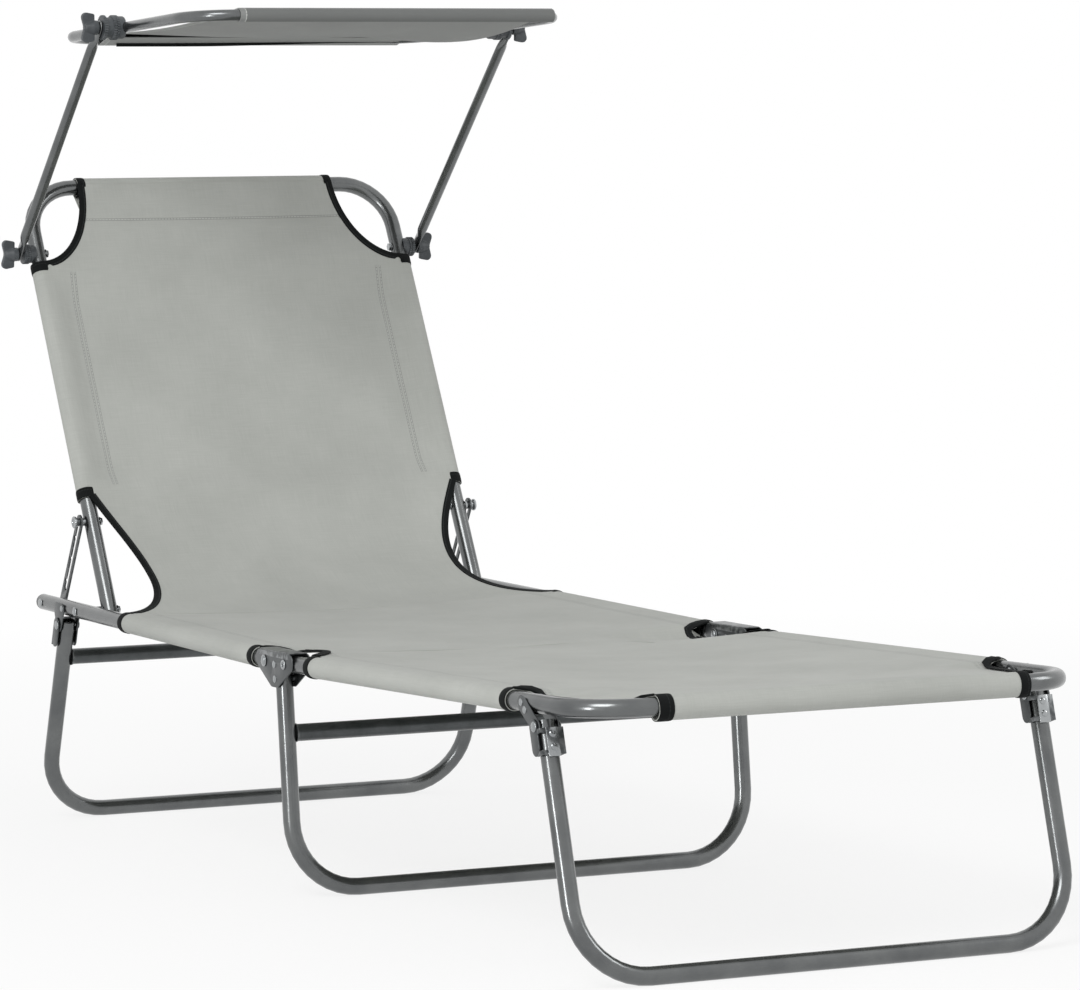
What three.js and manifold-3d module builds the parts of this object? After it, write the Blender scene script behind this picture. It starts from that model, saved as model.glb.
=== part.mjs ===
// Sun lounger with canopy, in millimetres, +Z up, +Y towards the head, the ground at Z = 0.
// Two half frames of bent steel tube hang on a middle bracket that carries a fixed leg, and fold down
// beside it. The rear and front legs fold flat under the rails. The backrest turns on the seat rails and
// is held by slotted props, and a canopy sits on two arms with toothed friction clamps.
import * as THREE from 'three';
import { mergeVertices } from 'three/addons/utils/BufferGeometryUtils.js';
import Module from 'manifold-3d';

const wasm = await Module();
wasm.setup();

// Tube stock
const tubeRadius = 9.5;
const tubeWall = 1.2;
const tubeSides = 12;
const boreSides = 6;
const slimRadius = 6.5;
const slimWall = 1;
const slimSides = 8;
const bendSteps = 5;
const lobeSteps = 3;
const cutOverrun = 2;
const gap = 0.3;

// Overall frame
const railSpread = 280;
const hingeHeight = 259;
const railPivotOffset = 27;
const seatRise = THREE.MathUtils.degToRad(0.8);
const footRise = THREE.MathUtils.degToRad(1.3);
const seatRailEnd = 718;
const footBarReach = 714;
const footBend = 64;
const railStub = 6.5;

// Sheet metal and fasteners
const sheetThickness = 1.5;
const pinRadius = 3;
const pinHeadRadius = 5.5;
const pinHeadHeight = 1.8;
const pinCrownShare = 0.65;
const roundSides = 8;
const holeSides = 6;
const plugSpigot = 6;
const plugCrown = 7;

// Middle bracket and its leg
const midLobeReach = 40;
const midLobeRise = 2;
const midLobeRadius = 10.2;
const midFootReach = 6;
const midFootDrop = 17;
const webClearance = 1.2;
const webStart = 34;
const webEnd = 47;
const midRivetDrops = [2, 18];
const midLegLean = THREE.MathUtils.degToRad(5.5);
const midLegTop = 5;

// Legs
const legPivotDrop = 21;
const legBend = 76;
const legStub = 5.6;
const rearLegInset = 78;
const rearLegPlace = seatRailEnd - rearLegInset;
const rearLegLean = THREE.MathUtils.degToRad(19.8);
const rearCrossbarDrop = 43;
const frontLegInset = 88;
const frontLegPlace = footBarReach - frontLegInset;
const frontLegLean = THREE.MathUtils.degToRad(16.3);
const midCrossbarDrop = 78;
const clipLobe = 9;
const rearClipSpan = [-18, 10];
const frontClipSpan = [4, 32];
const clipRivetShare = 0.6;
const channelWebStart = 4.2;
const channelReach = 31;
const channelHalfWidth = 9.8;
const channelRivetDrops = [14.5, 25];
const legRivetRadius = 2;
const legRivetHead = 3.4;
const legRivetCrown = 1.2;

// Backrest and its props
const backPivotInset = 130;
const backPivotPlace = seatRailEnd - backPivotInset;
const backAngle = THREE.MathUtils.degToRad(62);
const backSpread = 244.8;
const backLength = 573.6;
const backBend = 62;
const backStub = 8.5;
const propReach = 117;
const propInner = 259.3;
const propThickness = 2;
const propHalfWidth = 9;
const propSlotMargin = 0.3;
const propSlotLow = 22;
const propNotchPlaces = [91, 60, 27];
const propNotchReach = 4.6;
const propNotchLean = 3.4;
const studNeck = 3.2;
const studCollar = 5;
const studHeadRadius = 7.4;
const studHeadOuter = 268.6;
const innerNut = 5.2;
const innerNutHeight = 3;

// Canopy, its arms and clamps
const clampInset = 91.6;
const clampPlace = backLength - clampInset;
const armSpread = 269.4;
const armLength = 396;
const armAngle = THREE.MathUtils.degToRad(136.6);
const tongueThickness = 4;
const tongueHalfWidth = 9.5;
const tongueLength = 30;
const tongueTuck = 8;
const canopySpread = 238.1;
const canopyFront = 228;
const canopyRear = 219;
const canopyBend = 60;
const canopyTilt = THREE.MathUtils.degToRad(-2.2);
const weldOverlap = 1;
const lowerDiscRadius = 12.5;
const upperDiscRadius = 15;
const discTeeth = 13;
const discToothDepth = 1.4;
const saddleReach = 5;
const saddleFlange = 3;
const saddleBlock = 3.4;
const rimThickness = 4;
const knobHub = 8.5;
const knobLength = 13;
const knobWingStart = 4.3;
const knobWingReach = 19;
const knobWingRadius = 6.5;
const knobWingThickness = 6;
const knobWingLength = 21;
const boltTail = 9;
const lowerKnobTurn = THREE.MathUtils.degToRad(-40);
const upperKnobTurn = THREE.MathUtils.degToRad(-45);

// Cloth
const clothThickness = 1.6;
const clothTuck = 0.3;
const sleeveBore = 0.5;
const sleeveSides = 12;
const seatSag = 9;
const seatSleeveStart = 54;
const seatSleeveInset = 276;
const seatSleeve = [seatSleeveStart, seatRailEnd - seatSleeveInset];
const hingeEdge = 1;
const hingeClothHalf = 254;
const lapClothHalf = 214;
const lapGap = 1.5;
const footSleeveStart = 37;
const footSleeveInset = 157;
const footSleeve = [footSleeveStart, footBarReach - footSleeveInset];
const footBarSleeve = 203;
const footCornerHalf = 261;
const footCornerStep = 10;
const backSleeveInset = 107.6;
const backSleeveTop = backLength - backSleeveInset;
const backTopSleeve = 165;
const backSag = 8;
const canopyClothLeft = -186;
const canopyClothRight = 216;
const canopySag = 17;
const clothColumns = 6;

const halfTurn = Math.PI;
const quarterTurn = Math.PI / 2;
const steel = { color: 0x85888b, metalness: 0.85, roughness: 0.38 };
const zinc = { color: 0x9fa3a6, metalness: 0.9, roughness: 0.3 };
const darkSteel = { color: 0x5f6467, metalness: 0.8, roughness: 0.42 };
const plastic = { color: 0x3c4043, metalness: 0, roughness: 0.55 };
const blackPlastic = { color: 0x55585a, metalness: 0, roughness: 0.5 };
const cloth = { color: 0xa9aba6, metalness: 0, roughness: 0.9 };

// Straight runs joined by true arcs, with rings only where the tube bends.
class BentPath extends THREE.Curve {
  constructor(corners, bendRadius) {
    super();
    this.points = [];
    this.tangents = [];
    corners.forEach((corner, i) => {
      const before = i > 0 ? corner.clone().sub(corners[i - 1]).normalize() : null;
      const after = i < corners.length - 1 ? corners[i + 1].clone().sub(corner).normalize() : null;
      if (before && after) {
        this.addArc(corner, before, after, bendRadius);
      } else {
        this.points.push(corner);
        this.tangents.push(before ?? after);
      }
    });
    this.steps = this.points.length - 1;
  }

  addArc(corner, before, after, radius) {
    const bend = before.angleTo(after);
    const start = corner.clone().addScaledVector(before, -radius * Math.tan(bend / 2));
    const inward = after.clone().addScaledVector(before, -before.dot(after)).normalize();
    for (let i = 0; i <= bendSteps; i += 1) {
      const turn = (bend * i) / bendSteps;
      const point = start.clone().addScaledVector(before, radius * Math.sin(turn));
      this.points.push(point.addScaledVector(inward, radius * (1 - Math.cos(turn))));
      const tangent = before.clone().multiplyScalar(Math.cos(turn));
      this.tangents.push(tangent.addScaledVector(inward, Math.sin(turn)));
    }
  }

  getPointAt(share, target = new THREE.Vector3()) {
    return target.copy(this.points[Math.round(share * this.steps)]);
  }

  getTangentAt(share, target = new THREE.Vector3()) {
    return target.copy(this.tangents[Math.round(share * this.steps)]);
  }
}

function toSolid(geometry) {
  const bare = geometry.clone();
  bare.deleteAttribute('normal');
  bare.deleteAttribute('uv');
  const welded = mergeVertices(bare);
  const corners = [];
  for (let i = 0; i < welded.index.count; i += 3) {
    const [a, b, c] = [0, 1, 2].map((k) => welded.index.getX(i + k));
    if (a !== b && b !== c && c !== a) {
      corners.push(a, b, c);
    }
  }
  const vertProperties = new Float32Array(welded.attributes.position.array);
  return new wasm.Manifold(new wasm.Mesh({ numProp: 3, vertProperties, triVerts: new Uint32Array(corners) }));
}

function toGeometry(solid) {
  const mesh = solid.getMesh();
  const geometry = new THREE.BufferGeometry();
  geometry.setAttribute('position', new THREE.BufferAttribute(new Float32Array(mesh.vertProperties), 3));
  geometry.setIndex(new THREE.BufferAttribute(new Uint32Array(mesh.triVerts), 1));
  const faceted = geometry.toNonIndexed();
  faceted.computeVertexNormals();
  return faceted;
}

function joined(...solids) {
  return solids.reduce((whole, solid) => whole.add(solid));
}

function cut(solid, ...tools) {
  return tools.reduce((rest, tool) => rest.subtract(tool), solid);
}

function piece(parent, name, solid, look) {
  const mesh = new THREE.Mesh(toGeometry(solid), new THREE.MeshStandardMaterial(look));
  mesh.name = name;
  parent.add(mesh);
  return mesh;
}

function group(parent, y, z, turn) {
  const made = new THREE.Group();
  made.position.set(0, y, z);
  made.rotation.x = turn;
  parent?.add(made);
  return made;
}

function bothSides(action) {
  action(-1, 'left');
  action(1, 'right');
}

function polygon(radius, sides, turn) {
  return Array.from({ length: sides }, (_, i) => {
    const angle = turn + (2 * halfTurn * (i + 0.5)) / sides;
    return new THREE.Vector2(radius * Math.cos(angle), radius * Math.sin(angle));
  });
}

// A round tube along a path. The turn sets where the flats of its faceted wall look.
function tube(path, radius, wall, sides, turn = 0) {
  const shape = new THREE.Shape(polygon(radius, sides, turn));
  shape.holes.push(new THREE.Path(polygon(radius - wall, boreSides, turn)));
  return sweep(path, shape);
}

function sweep(path, shape) {
  const options = { steps: path.steps, extrudePath: path, curveSegments: 1 };
  return toSolid(new THREE.ExtrudeGeometry(shape, options));
}

function vector(x = 0, y = 0, z = 0) {
  return new THREE.Vector3(x, y, z);
}

// A revolved piece whose axis runs outward along X. The profile lists [distance outward, radius].
function turned(profile, side, y = 0, z = 0, sides = roundSides) {
  const points = profile.map(([outward, radius]) => new THREE.Vector2(radius, outward));
  const geometry = new THREE.LatheGeometry(points, sides);
  geometry.rotateZ(-side * quarterTurn);
  geometry.translate(0, y, z);
  return toSolid(geometry);
}

function rod(side, inner, outer, radius, y = 0, z = 0, sides = roundSides) {
  return turned([[inner, 0], [inner, radius], [outer, radius], [outer, 0]], side, y, z, sides);
}

// A round bar along Y, centred on X and Z.
function lengthwiseRod(x, from, to, radius, z = 0, sides = sleeveSides) {
  const geometry = new THREE.CylinderGeometry(radius, radius, to - from, sides);
  geometry.translate(x, (from + to) / 2, z);
  return toSolid(geometry);
}

// A flat plate square to X. The shape's own x runs along Y and its y along Z.
function plate(shape, side, inner, outer) {
  const options = { depth: outer - inner, bevelEnabled: false, curveSegments: lobeSteps };
  const geometry = new THREE.ExtrudeGeometry(shape, options);
  geometry.applyMatrix4(new THREE.Matrix4().makeBasis(vector(0, 1, 0), vector(0, 0, 1), vector(1, 0, 0)));
  geometry.translate(side > 0 ? inner : -outer, 0, 0);
  return toSolid(geometry);
}

function block(side, inner, outer, yRange, zRange) {
  const geometry = new THREE.BoxGeometry(outer - inner, yRange[1] - yRange[0], zRange[1] - zRange[0]);
  const x = (side * (inner + outer)) / 2;
  geometry.translate(x, (yRange[0] + yRange[1]) / 2, (zRange[0] + zRange[1]) / 2);
  return toSolid(geometry);
}

// The outline round a convex run of corners, listed anticlockwise, with a round lobe at each.
function lobedOutline(corners, radius) {
  const shape = new THREE.Shape();
  corners.forEach(([x, y], i) => {
    const [beforeX, beforeY] = corners[(i + corners.length - 1) % corners.length];
    const [afterX, afterY] = corners[(i + 1) % corners.length];
    const start = Math.atan2(beforeX - x, y - beforeY);
    const end = Math.atan2(x - afterX, afterY - y);
    shape.absarc(x, y, radius, start, end < start ? end + 2 * halfTurn : end, false);
  });
  return shape;
}

// A pin along X with a head on each end: from and to are the faces that the heads bear on.
function pin(side, from, to, y, z) {
  const inner = from - gap - pinHeadHeight;
  const outer = to + gap + pinHeadHeight;
  const profile = [
    [inner, 0],
    [inner, pinHeadRadius * pinCrownShare],
    [inner + pinHeadHeight, pinHeadRadius],
    [inner + pinHeadHeight, pinRadius],
    [outer - pinHeadHeight, pinRadius],
    [outer - pinHeadHeight, pinHeadRadius],
    [outer, pinHeadRadius * pinCrownShare],
    [outer, 0],
  ];
  return turned(profile, side, y, z);
}

// A hole whose flats stand a gap clear of the pin
function pinHole(side, from, to, y, z) {
  const radius = (pinRadius + gap) / Math.cos(halfTurn / holeSides);
  return rod(side, from - cutOverrun, to + cutOverrun, radius, y, z, holeSides);
}

const railInner = railSpread - tubeRadius;
const railOuter = railSpread + tubeRadius;
const plateInner = railInner - gap - sheetThickness;
const plateOuter = railOuter + gap + sheetThickness;
const flangeInner = plateInner - gap - sheetThickness;
const flangeOuter = plateOuter + gap + sheetThickness;
const restRadius = tubeRadius * Math.cos(halfTurn / tubeSides);
const propPlace = backPivotPlace + propReach;
const backLean = backAngle - seatRise;

// Two side plates, each a sheet thick, that straddle the tube at one rail.
function sidePlates(outline, side, inner, outer) {
  const near = plate(outline, side, inner, inner + sheetThickness);
  const far = plate(outline, side, outer - sheetThickness, outer);
  return joined(near, far);
}

// Rails of the seat half, with plugs in their head ends
function seatRails(seat) {
  bothSides((side, hand) => {
    const x = side * railSpread;
    const path = new BentPath([vector(x, -railStub, 0), vector(x, seatRailEnd, 0)], 0);
    const places = [[0, 0], [rearLegPlace + rearClipRivet(), 0], [backPivotPlace, 0], [propPlace, 0]];
    const holes = places.map(([y, z]) => pinHole(side, railInner, railOuter, y, z));
    piece(seat, `seat_rail_${hand}`, cut(tube(path, tubeRadius, tubeWall, tubeSides), ...holes), steel);
    piece(seat, `rail_plug_${hand}`, plug(x), blackPlastic);
  });
}

function plug(x) {
  const spigotRadius = (tubeRadius - tubeWall) * Math.cos(halfTurn / boreSides) - gap;
  const profile = [new THREE.Vector2(0, -plugSpigot), new THREE.Vector2(spigotRadius, -plugSpigot)];
  profile.push(new THREE.Vector2(spigotRadius, gap));
  for (let i = 0; i <= bendSteps; i += 1) {
    const turn = (quarterTurn * i) / bendSteps;
    profile.push(new THREE.Vector2(tubeRadius * Math.cos(turn), gap + plugCrown * Math.sin(turn)));
  }
  const geometry = new THREE.LatheGeometry(profile, tubeSides);
  geometry.translate(x, seatRailEnd, 0);
  return toSolid(geometry);
}

// The middle bracket: one folded saddle with plates on both sides of the rails, and its two leg rivets
function midBracket(middle, side, hand) {
  const corners = [
    [midFootReach, -midFootDrop],
    [midLobeReach, midLobeRise],
    [-midLobeReach, midLobeRise],
    [-midFootReach, -midFootDrop],
  ];
  const plates = sidePlates(lobedOutline(corners, midLobeRadius), side, plateInner, plateOuter);
  const webLow = tubeRadius + webClearance;
  const webHigh = midLobeRise + midLobeRadius;
  const webs = [1, -1].map((end) => {
    const range = end > 0 ? [webStart, webEnd] : [-webEnd, -webStart];
    return block(side, plateInner, plateOuter, range, [webLow, webHigh]);
  });
  const pivots = [1, -1].map((end) => pinHole(side, plateInner, plateOuter, end * railPivotOffset, 0));
  const rivets = midRivetDrops.map((drop) => {
    return pin(side, plateInner + gap, plateOuter - gap, -drop * Math.tan(midLegLean), -drop);
  });
  piece(middle, `mid_bracket_${hand}`, joined(cut(joined(plates, ...webs), ...pivots), ...rivets), darkSteel);
  piece(middle, `mid_head_pin_${hand}`, pin(side, plateInner, plateOuter, railPivotOffset, 0), zinc);
  piece(middle, `mid_foot_pin_${hand}`, pin(side, plateInner, plateOuter, -railPivotOffset, 0), zinc);
}

// A leg frame bent from one tube, hanging from its pivots along -Z, with flats turned to the ground
function legTube(top, length, lean) {
  const corners = [
    vector(-railSpread, 0, top),
    vector(-railSpread, 0, -length),
    vector(railSpread, 0, -length),
    vector(railSpread, 0, top),
  ];
  return tube(new BentPath(corners, legBend), tubeRadius, tubeWall, tubeSides, -lean);
}

// A straight brace across a leg frame, with a thin spigot let into the tube at each end
function crossbar(drop) {
  const tip = railInner + tubeWall;
  const shoulder = railInner - gap;
  const profile = [
    [-tip, 0], [-tip, pinRadius], [-shoulder, pinRadius], [-shoulder, tubeRadius],
    [shoulder, tubeRadius], [shoulder, pinRadius], [tip, pinRadius], [tip, 0],
  ];
  return turned(profile, 1, 0, -drop, tubeSides);
}

function crossbarRecess(drop) {
  return rod(1, -railInner - tubeWall - gap, railInner + tubeWall + gap, pinRadius + gap, 0, -drop);
}

function midLeg(middle) {
  const length = (hingeHeight - restRadius) / Math.cos(midLegLean);
  const leg = group(middle, 0, 0, -midLegLean);
  const rivets = [];
  bothSides((side) => {
    midRivetDrops.forEach((drop) => {
      rivets.push(pinHole(side, railInner, railOuter, 0, -drop / Math.cos(midLegLean)));
    });
  });
  const frame = cut(legTube(midLegTop, length, -midLegLean), ...rivets, crossbarRecess(midCrossbarDrop));
  piece(leg, 'mid_leg_frame', frame, steel);
  piece(leg, 'mid_crossbar', crossbar(midCrossbarDrop), darkSteel);
}

function rearClipRivet() {
  return rearClipSpan[0] * clipRivetShare;
}

function frontClipRivet() {
  return frontClipSpan[1] * clipRivetShare;
}

// A clip riveted across the rail that carries a leg's pivot below it. Places are counted from the pivot.
function railClip(side, span, rivetPlace) {
  const corners = [[0, 0], [span[1], legPivotDrop], [span[0], legPivotDrop]];
  const plates = sidePlates(lobedOutline(corners, clipLobe), side, plateInner, plateOuter);
  const low = legPivotDrop + tubeRadius + gap;
  const web = block(side, plateInner, plateOuter, span, [low, low + sheetThickness]);
  const cheeks = [plateInner, plateOuter - sheetThickness].map((start) => {
    return block(side, start, start + sheetThickness, span, [legPivotDrop, low + sheetThickness]);
  });
  const rivet = pin(side, plateInner + gap, plateOuter - gap, rivetPlace, legPivotDrop);
  return joined(cut(joined(plates, ...cheeks, web), pinHole(side, plateInner, plateOuter, 0, 0)), rivet);
}

// A rivet through the channel's web and the leg, with a low head on each side
function legRivet(side, facing, fall) {
  const x = side * railSpread;
  const web = tubeRadius + gap + sheetThickness;
  const bare = tubeRadius + gap;
  const along = (from, to, radius) => {
    const [low, high] = facing > 0 ? [from, to] : [-to, -from];
    return lengthwiseRod(x, low, high, radius, -fall, holeSides);
  };
  const shank = along(-bare - legRivetCrown, web + legRivetCrown, legRivetRadius);
  const outerHead = along(web, web + legRivetCrown, legRivetHead);
  const innerHead = along(-bare - legRivetCrown, -bare, legRivetHead);
  return joined(shank, outerHead, innerHead);
}

function legRivetHole(side, fall) {
  const reach = tubeRadius + cutOverrun;
  const radius = (legRivetRadius + gap) / Math.cos(halfTurn / holeSides);
  return lengthwiseRod(side * railSpread, -reach, reach, radius, -fall, holeSides);
}

// The channel riveted round a leg's top. Its web is on the side that the leg leans to, where it meets the
// clip as the leg's stop.
function legChannel(side, facing) {
  const corners = [[0, -channelReach + channelHalfWidth], [0, 0]];
  const outline = lobedOutline(corners, channelHalfWidth);
  const flanges = sidePlates(outline, side, flangeInner, flangeOuter);
  const webNear = tubeRadius + gap;
  const webRange = facing > 0 ? [webNear, webNear + sheetThickness] : [-webNear - sheetThickness, -webNear];
  const edge = facing > 0 ? [0, webNear + sheetThickness] : [-webNear - sheetThickness, 0];
  const drop = [-channelReach, -channelWebStart];
  const web = block(side, flangeInner, flangeOuter, webRange, drop);
  const cheeks = [flangeInner, flangeOuter - sheetThickness].map((start) => {
    return block(side, start, start + sheetThickness, edge, drop);
  });
  const rivets = channelRivetDrops.map((fall) => legRivet(side, facing, fall));
  const channel = joined(flanges, ...cheeks, web, ...rivets);
  return cut(channel, pinHole(side, flangeInner, flangeOuter, 0, 0));
}

function foldingLeg(parent, name, place, lean, facing, pivotHeight, barDrop) {
  const leg = group(parent, place, -legPivotDrop, lean - parent.rotation.x);
  const length = (pivotHeight - restRadius) / Math.cos(lean);
  const holes = [];
  bothSides((side, hand) => {
    holes.push(pinHole(side, railInner, railOuter, 0, 0));
    holes.push(...channelRivetDrops.map((fall) => legRivetHole(side, fall)));
    piece(leg, `${name}_channel_${hand}`, legChannel(side, facing), zinc);
    piece(parent, `${name}_pivot_${hand}`, pin(side, flangeInner, flangeOuter, place, -legPivotDrop), zinc);
  });
  if (barDrop) {
    holes.push(crossbarRecess(barDrop));
    piece(leg, `${name}_crossbar`, crossbar(barDrop), darkSteel);
  }
  piece(leg, `${name}_leg_frame`, cut(legTube(legStub, length, lean), ...holes), steel);
}

function clips(parent, name, place, span, rivetPlace) {
  bothSides((side, hand) => {
    const clip = railClip(side, span, rivetPlace).translate([0, place, -legPivotDrop]);
    piece(parent, `${name}_clip_${hand}`, clip, zinc);
  });
}

// Evenly spread stations from one place up to, but without, the next
function stretch(from, to, count) {
  return Array.from({ length: count }, (_, i) => from + ((to - from) * i) / count);
}

// A cloth laid over a grid: the place function gives a point for a share across and a station along.
function clothSheet(place, stations) {
  const top = [];
  const under = [];
  const rows = stations.length - 1;
  for (let j = 0; j <= rows; j += 1) {
    for (let i = 0; i <= clothColumns; i += 1) {
      const point = place(i / clothColumns, stations[j]);
      const run = vector().subVectors(
        place(i / clothColumns, stations[Math.min(j + 1, rows)]),
        place(i / clothColumns, stations[Math.max(j - 1, 0)]),
      );
      const width = vector().subVectors(
        place(Math.min(i + 1, clothColumns) / clothColumns, stations[j]),
        place(Math.max(i - 1, 0) / clothColumns, stations[j]),
      );
      const normal = width.cross(run).normalize();
      top.push(point);
      under.push(point.clone().addScaledVector(normal, -clothThickness));
    }
  }
  const stride = clothColumns + 1;
  const faces = [];
  const quad = (a, b, c, d) => faces.push(a, b, c, a, c, d);
  const base = top.length;
  for (let j = 0; j < rows; j += 1) {
    for (let i = 0; i < clothColumns; i += 1) {
      const a = j * stride + i;
      quad(a, a + 1, a + stride + 1, a + stride);
      quad(base + a, base + a + stride, base + a + stride + 1, base + a + 1);
    }
    const [left, right] = [j * stride, j * stride + clothColumns];
    quad(left, left + stride, base + left + stride, base + left);
    quad(right, base + right, base + right + stride, right + stride);
  }
  for (let i = 0; i < clothColumns; i += 1) {
    const end = rows * stride + i;
    quad(i, base + i, base + i + 1, i + 1);
    quad(end, end + 1, base + end + 1, base + end);
  }
  const geometry = new THREE.BufferGeometry();
  geometry.setFromPoints([...top, ...under]);
  geometry.setIndex(faces);
  return toSolid(geometry);
}

const sleeveInner = tubeRadius + sleeveBore;
const sleeveOuter = sleeveInner + clothThickness;
const clothTop = sleeveOuter - clothTuck;

const bracketEnd = midLobeReach + midLobeRadius - railPivotOffset + gap;

function arcDip(share, sag) {
  return 4 * sag * share * (1 - share);
}

function smooth(value, from, to) {
  return THREE.MathUtils.smoothstep(value, from, to);
}

// The half width of a cloth whose corner is scooped out along a quarter ellipse from its side sleeve's end
function scoopedHalf(full, narrow, start, end, place) {
  const share = THREE.MathUtils.clamp((end - place) / (end - start), 0, 1);
  return narrow + (full - narrow) * (1 - Math.sqrt(1 - share * share));
}

// The half width of a cloth whose corner is rounded along the inner side of the frame's bend
function corneredHalf(full, narrow, start, end, place) {
  const share = THREE.MathUtils.clamp((place - start) / (end - start), 0, 1);
  return full - (full - narrow) * (1 - Math.sqrt(1 - share * share));
}

// The bend where the cloth runs from the seat up to the backrest: radius, and where it leaves each line
const lapCrossing = clothTop * Math.tan(backLean / 2);
const lapCorner = backPivotPlace + lapCrossing * Math.cos(backLean) - clothTop * Math.sin(backLean);
const lapRun = lapCorner - seatSleeve[1];
const lapRadius = lapRun / Math.tan(backLean / 2);
const lapReach = lapRadius * (backLean / 2) - lapGap;
const backSleeveLow = lapCrossing + lapRun;

// One half of that bend, measured from a tangent line: how far along it and how far off it
function lapPoint(travel, reach) {
  const turn = Math.min(travel / lapRadius, backLean / 2);
  return [reach - lapRadius * Math.sin(turn), lapRadius * (1 - Math.cos(turn))];
}

// How far a cloth has narrowed towards the seam in that bend, from nought at its sleeve to one
function narrowing(travel) {
  return Math.sin(quarterTurn * Math.min(travel / lapReach, 1));
}

// The half width of a cloth that widens from the room between the middle brackets to the rails
function widening(travel, sleeveStart) {
  return THREE.MathUtils.lerp(hingeClothHalf, railSpread, smooth(travel, bracketEnd, sleeveStart));
}

function sleeves(halfSpread, from, to, outer, inner) {
  const rings = [-halfSpread, halfSpread];
  return {
    walls: rings.map((x) => lengthwiseRod(x, from, to, outer)),
    bores: rings.map((x) => lengthwiseRod(x, from - cutOverrun, to + cutOverrun, inner)),
  };
}

function seatFabric(seat) {
  const stations = [
    hingeEdge - railPivotOffset,
    ...stretch(bracketEnd, seatSleeve[0], 2),
    ...stretch(seatSleeve[0], seatSleeve[1], 2),
    ...stretch(seatSleeve[1], seatSleeve[1] + lapReach, 5),
    seatSleeve[1] + lapReach,
  ];
  const sheet = clothSheet((across, travel) => {
    const bent = Math.max(travel - seatSleeve[1], 0);
    const [back, rise] = lapPoint(bent, 0);
    const half = widening(travel, seatSleeve[0]) - (railSpread - lapClothHalf) * narrowing(bent);
    const dip = arcDip(across, seatSag * smooth(1 - bent / lapReach, 0, 1));
    const place = Math.min(travel, seatSleeve[1]) - back;
    return vector(half * (2 * across - 1), place, clothTop + rise - dip);
  }, stations);
  const { walls, bores } = sleeves(railSpread, ...seatSleeve, sleeveOuter, sleeveInner);
  piece(seat, 'seat_fabric', cut(joined(sheet, ...walls), ...bores), cloth);
}

function footFabric(foot) {
  const cornerStart = footSleeve[1] + footCornerStep;
  const stations = [
    hingeEdge - railPivotOffset,
    ...stretch(bracketEnd, footSleeve[0], 2),
    ...stretch(footSleeve[0], footSleeve[1], 2),
    ...stretch(footSleeve[1], cornerStart, 2),
    ...stretch(cornerStart, footBarReach, 5),
    footBarReach,
  ];
  const sheet = clothSheet((across, travel) => {
    const cornerHalf = corneredHalf(footCornerHalf, footBarSleeve, cornerStart, footBarReach, travel);
    const turnedIn = smooth(travel, footSleeve[1], cornerStart);
    const half = THREE.MathUtils.lerp(widening(travel, footSleeve[0]), cornerHalf, turnedIn);
    const sag = seatSag * smooth(footBarReach - travel, 0, footBarReach - footSleeve[1]);
    return vector(half * (1 - 2 * across), -travel, clothTop - arcDip(across, sag));
  }, stations);
  const { walls, bores } = sleeves(railSpread, -footSleeve[1], -footSleeve[0], sleeveOuter, sleeveInner);
  walls.push(rod(1, -footBarSleeve, footBarSleeve, sleeveOuter, -footBarReach, 0, sleeveSides));
  const barBore = footBarSleeve + cutOverrun;
  bores.push(rod(1, -barBore, barBore, sleeveInner, -footBarReach, 0, sleeveSides));
  piece(foot, 'foot_fabric', cut(joined(sheet, ...walls), ...bores), cloth);
}

function backFabric(back) {
  const stations = [
    ...stretch(backSleeveLow - lapReach, backSleeveLow, 5),
    ...stretch(backSleeveLow, backSleeveTop, 2),
    ...stretch(backSleeveTop, backLength, 6),
    backLength,
  ];
  const sheet = clothSheet((across, travel) => {
    const bent = Math.max(backSleeveLow - travel, 0);
    const [place, rise] = lapPoint(bent, backSleeveLow);
    const up = Math.max(travel, place);
    const lapHalf = backSpread - (backSpread - lapClothHalf) * narrowing(bent);
    const topHalf = scoopedHalf(backSpread, backTopSleeve, backSleeveTop, backLength, up);
    const half = Math.min(lapHalf, topHalf);
    const slack = smooth(up, 0, backSleeveLow) * smooth(backLength - up, 0, backLength - backSleeveTop);
    return vector(half * (2 * across - 1), up, clothTop + rise - arcDip(across, backSag * slack));
  }, stations);
  const { walls, bores } = sleeves(backSpread, backSleeveLow, backSleeveTop, sleeveOuter, sleeveInner);
  walls.push(rod(1, -backTopSleeve, backTopSleeve, sleeveOuter, backLength, 0, sleeveSides));
  const topBore = backTopSleeve + cutOverrun;
  bores.push(rod(1, -topBore, topBore, sleeveInner, backLength, 0, sleeveSides));
  piece(back, 'backrest_fabric', cut(joined(sheet, ...walls), ...bores), cloth);
}

function footFrame(foot) {
  const corners = [
    vector(-railSpread, railStub, 0),
    vector(-railSpread, -footBarReach, 0),
    vector(railSpread, -footBarReach, 0),
    vector(railSpread, railStub, 0),
  ];
  const holes = [];
  bothSides((side) => {
    holes.push(pinHole(side, railInner, railOuter, 0, 0));
    holes.push(pinHole(side, railInner, railOuter, frontClipRivet() - frontLegPlace, 0));
  });
  const frame = tube(new BentPath(corners, footBend), tubeRadius, tubeWall, tubeSides);
  piece(foot, 'foot_frame', cut(frame, ...holes), steel);
}

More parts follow.
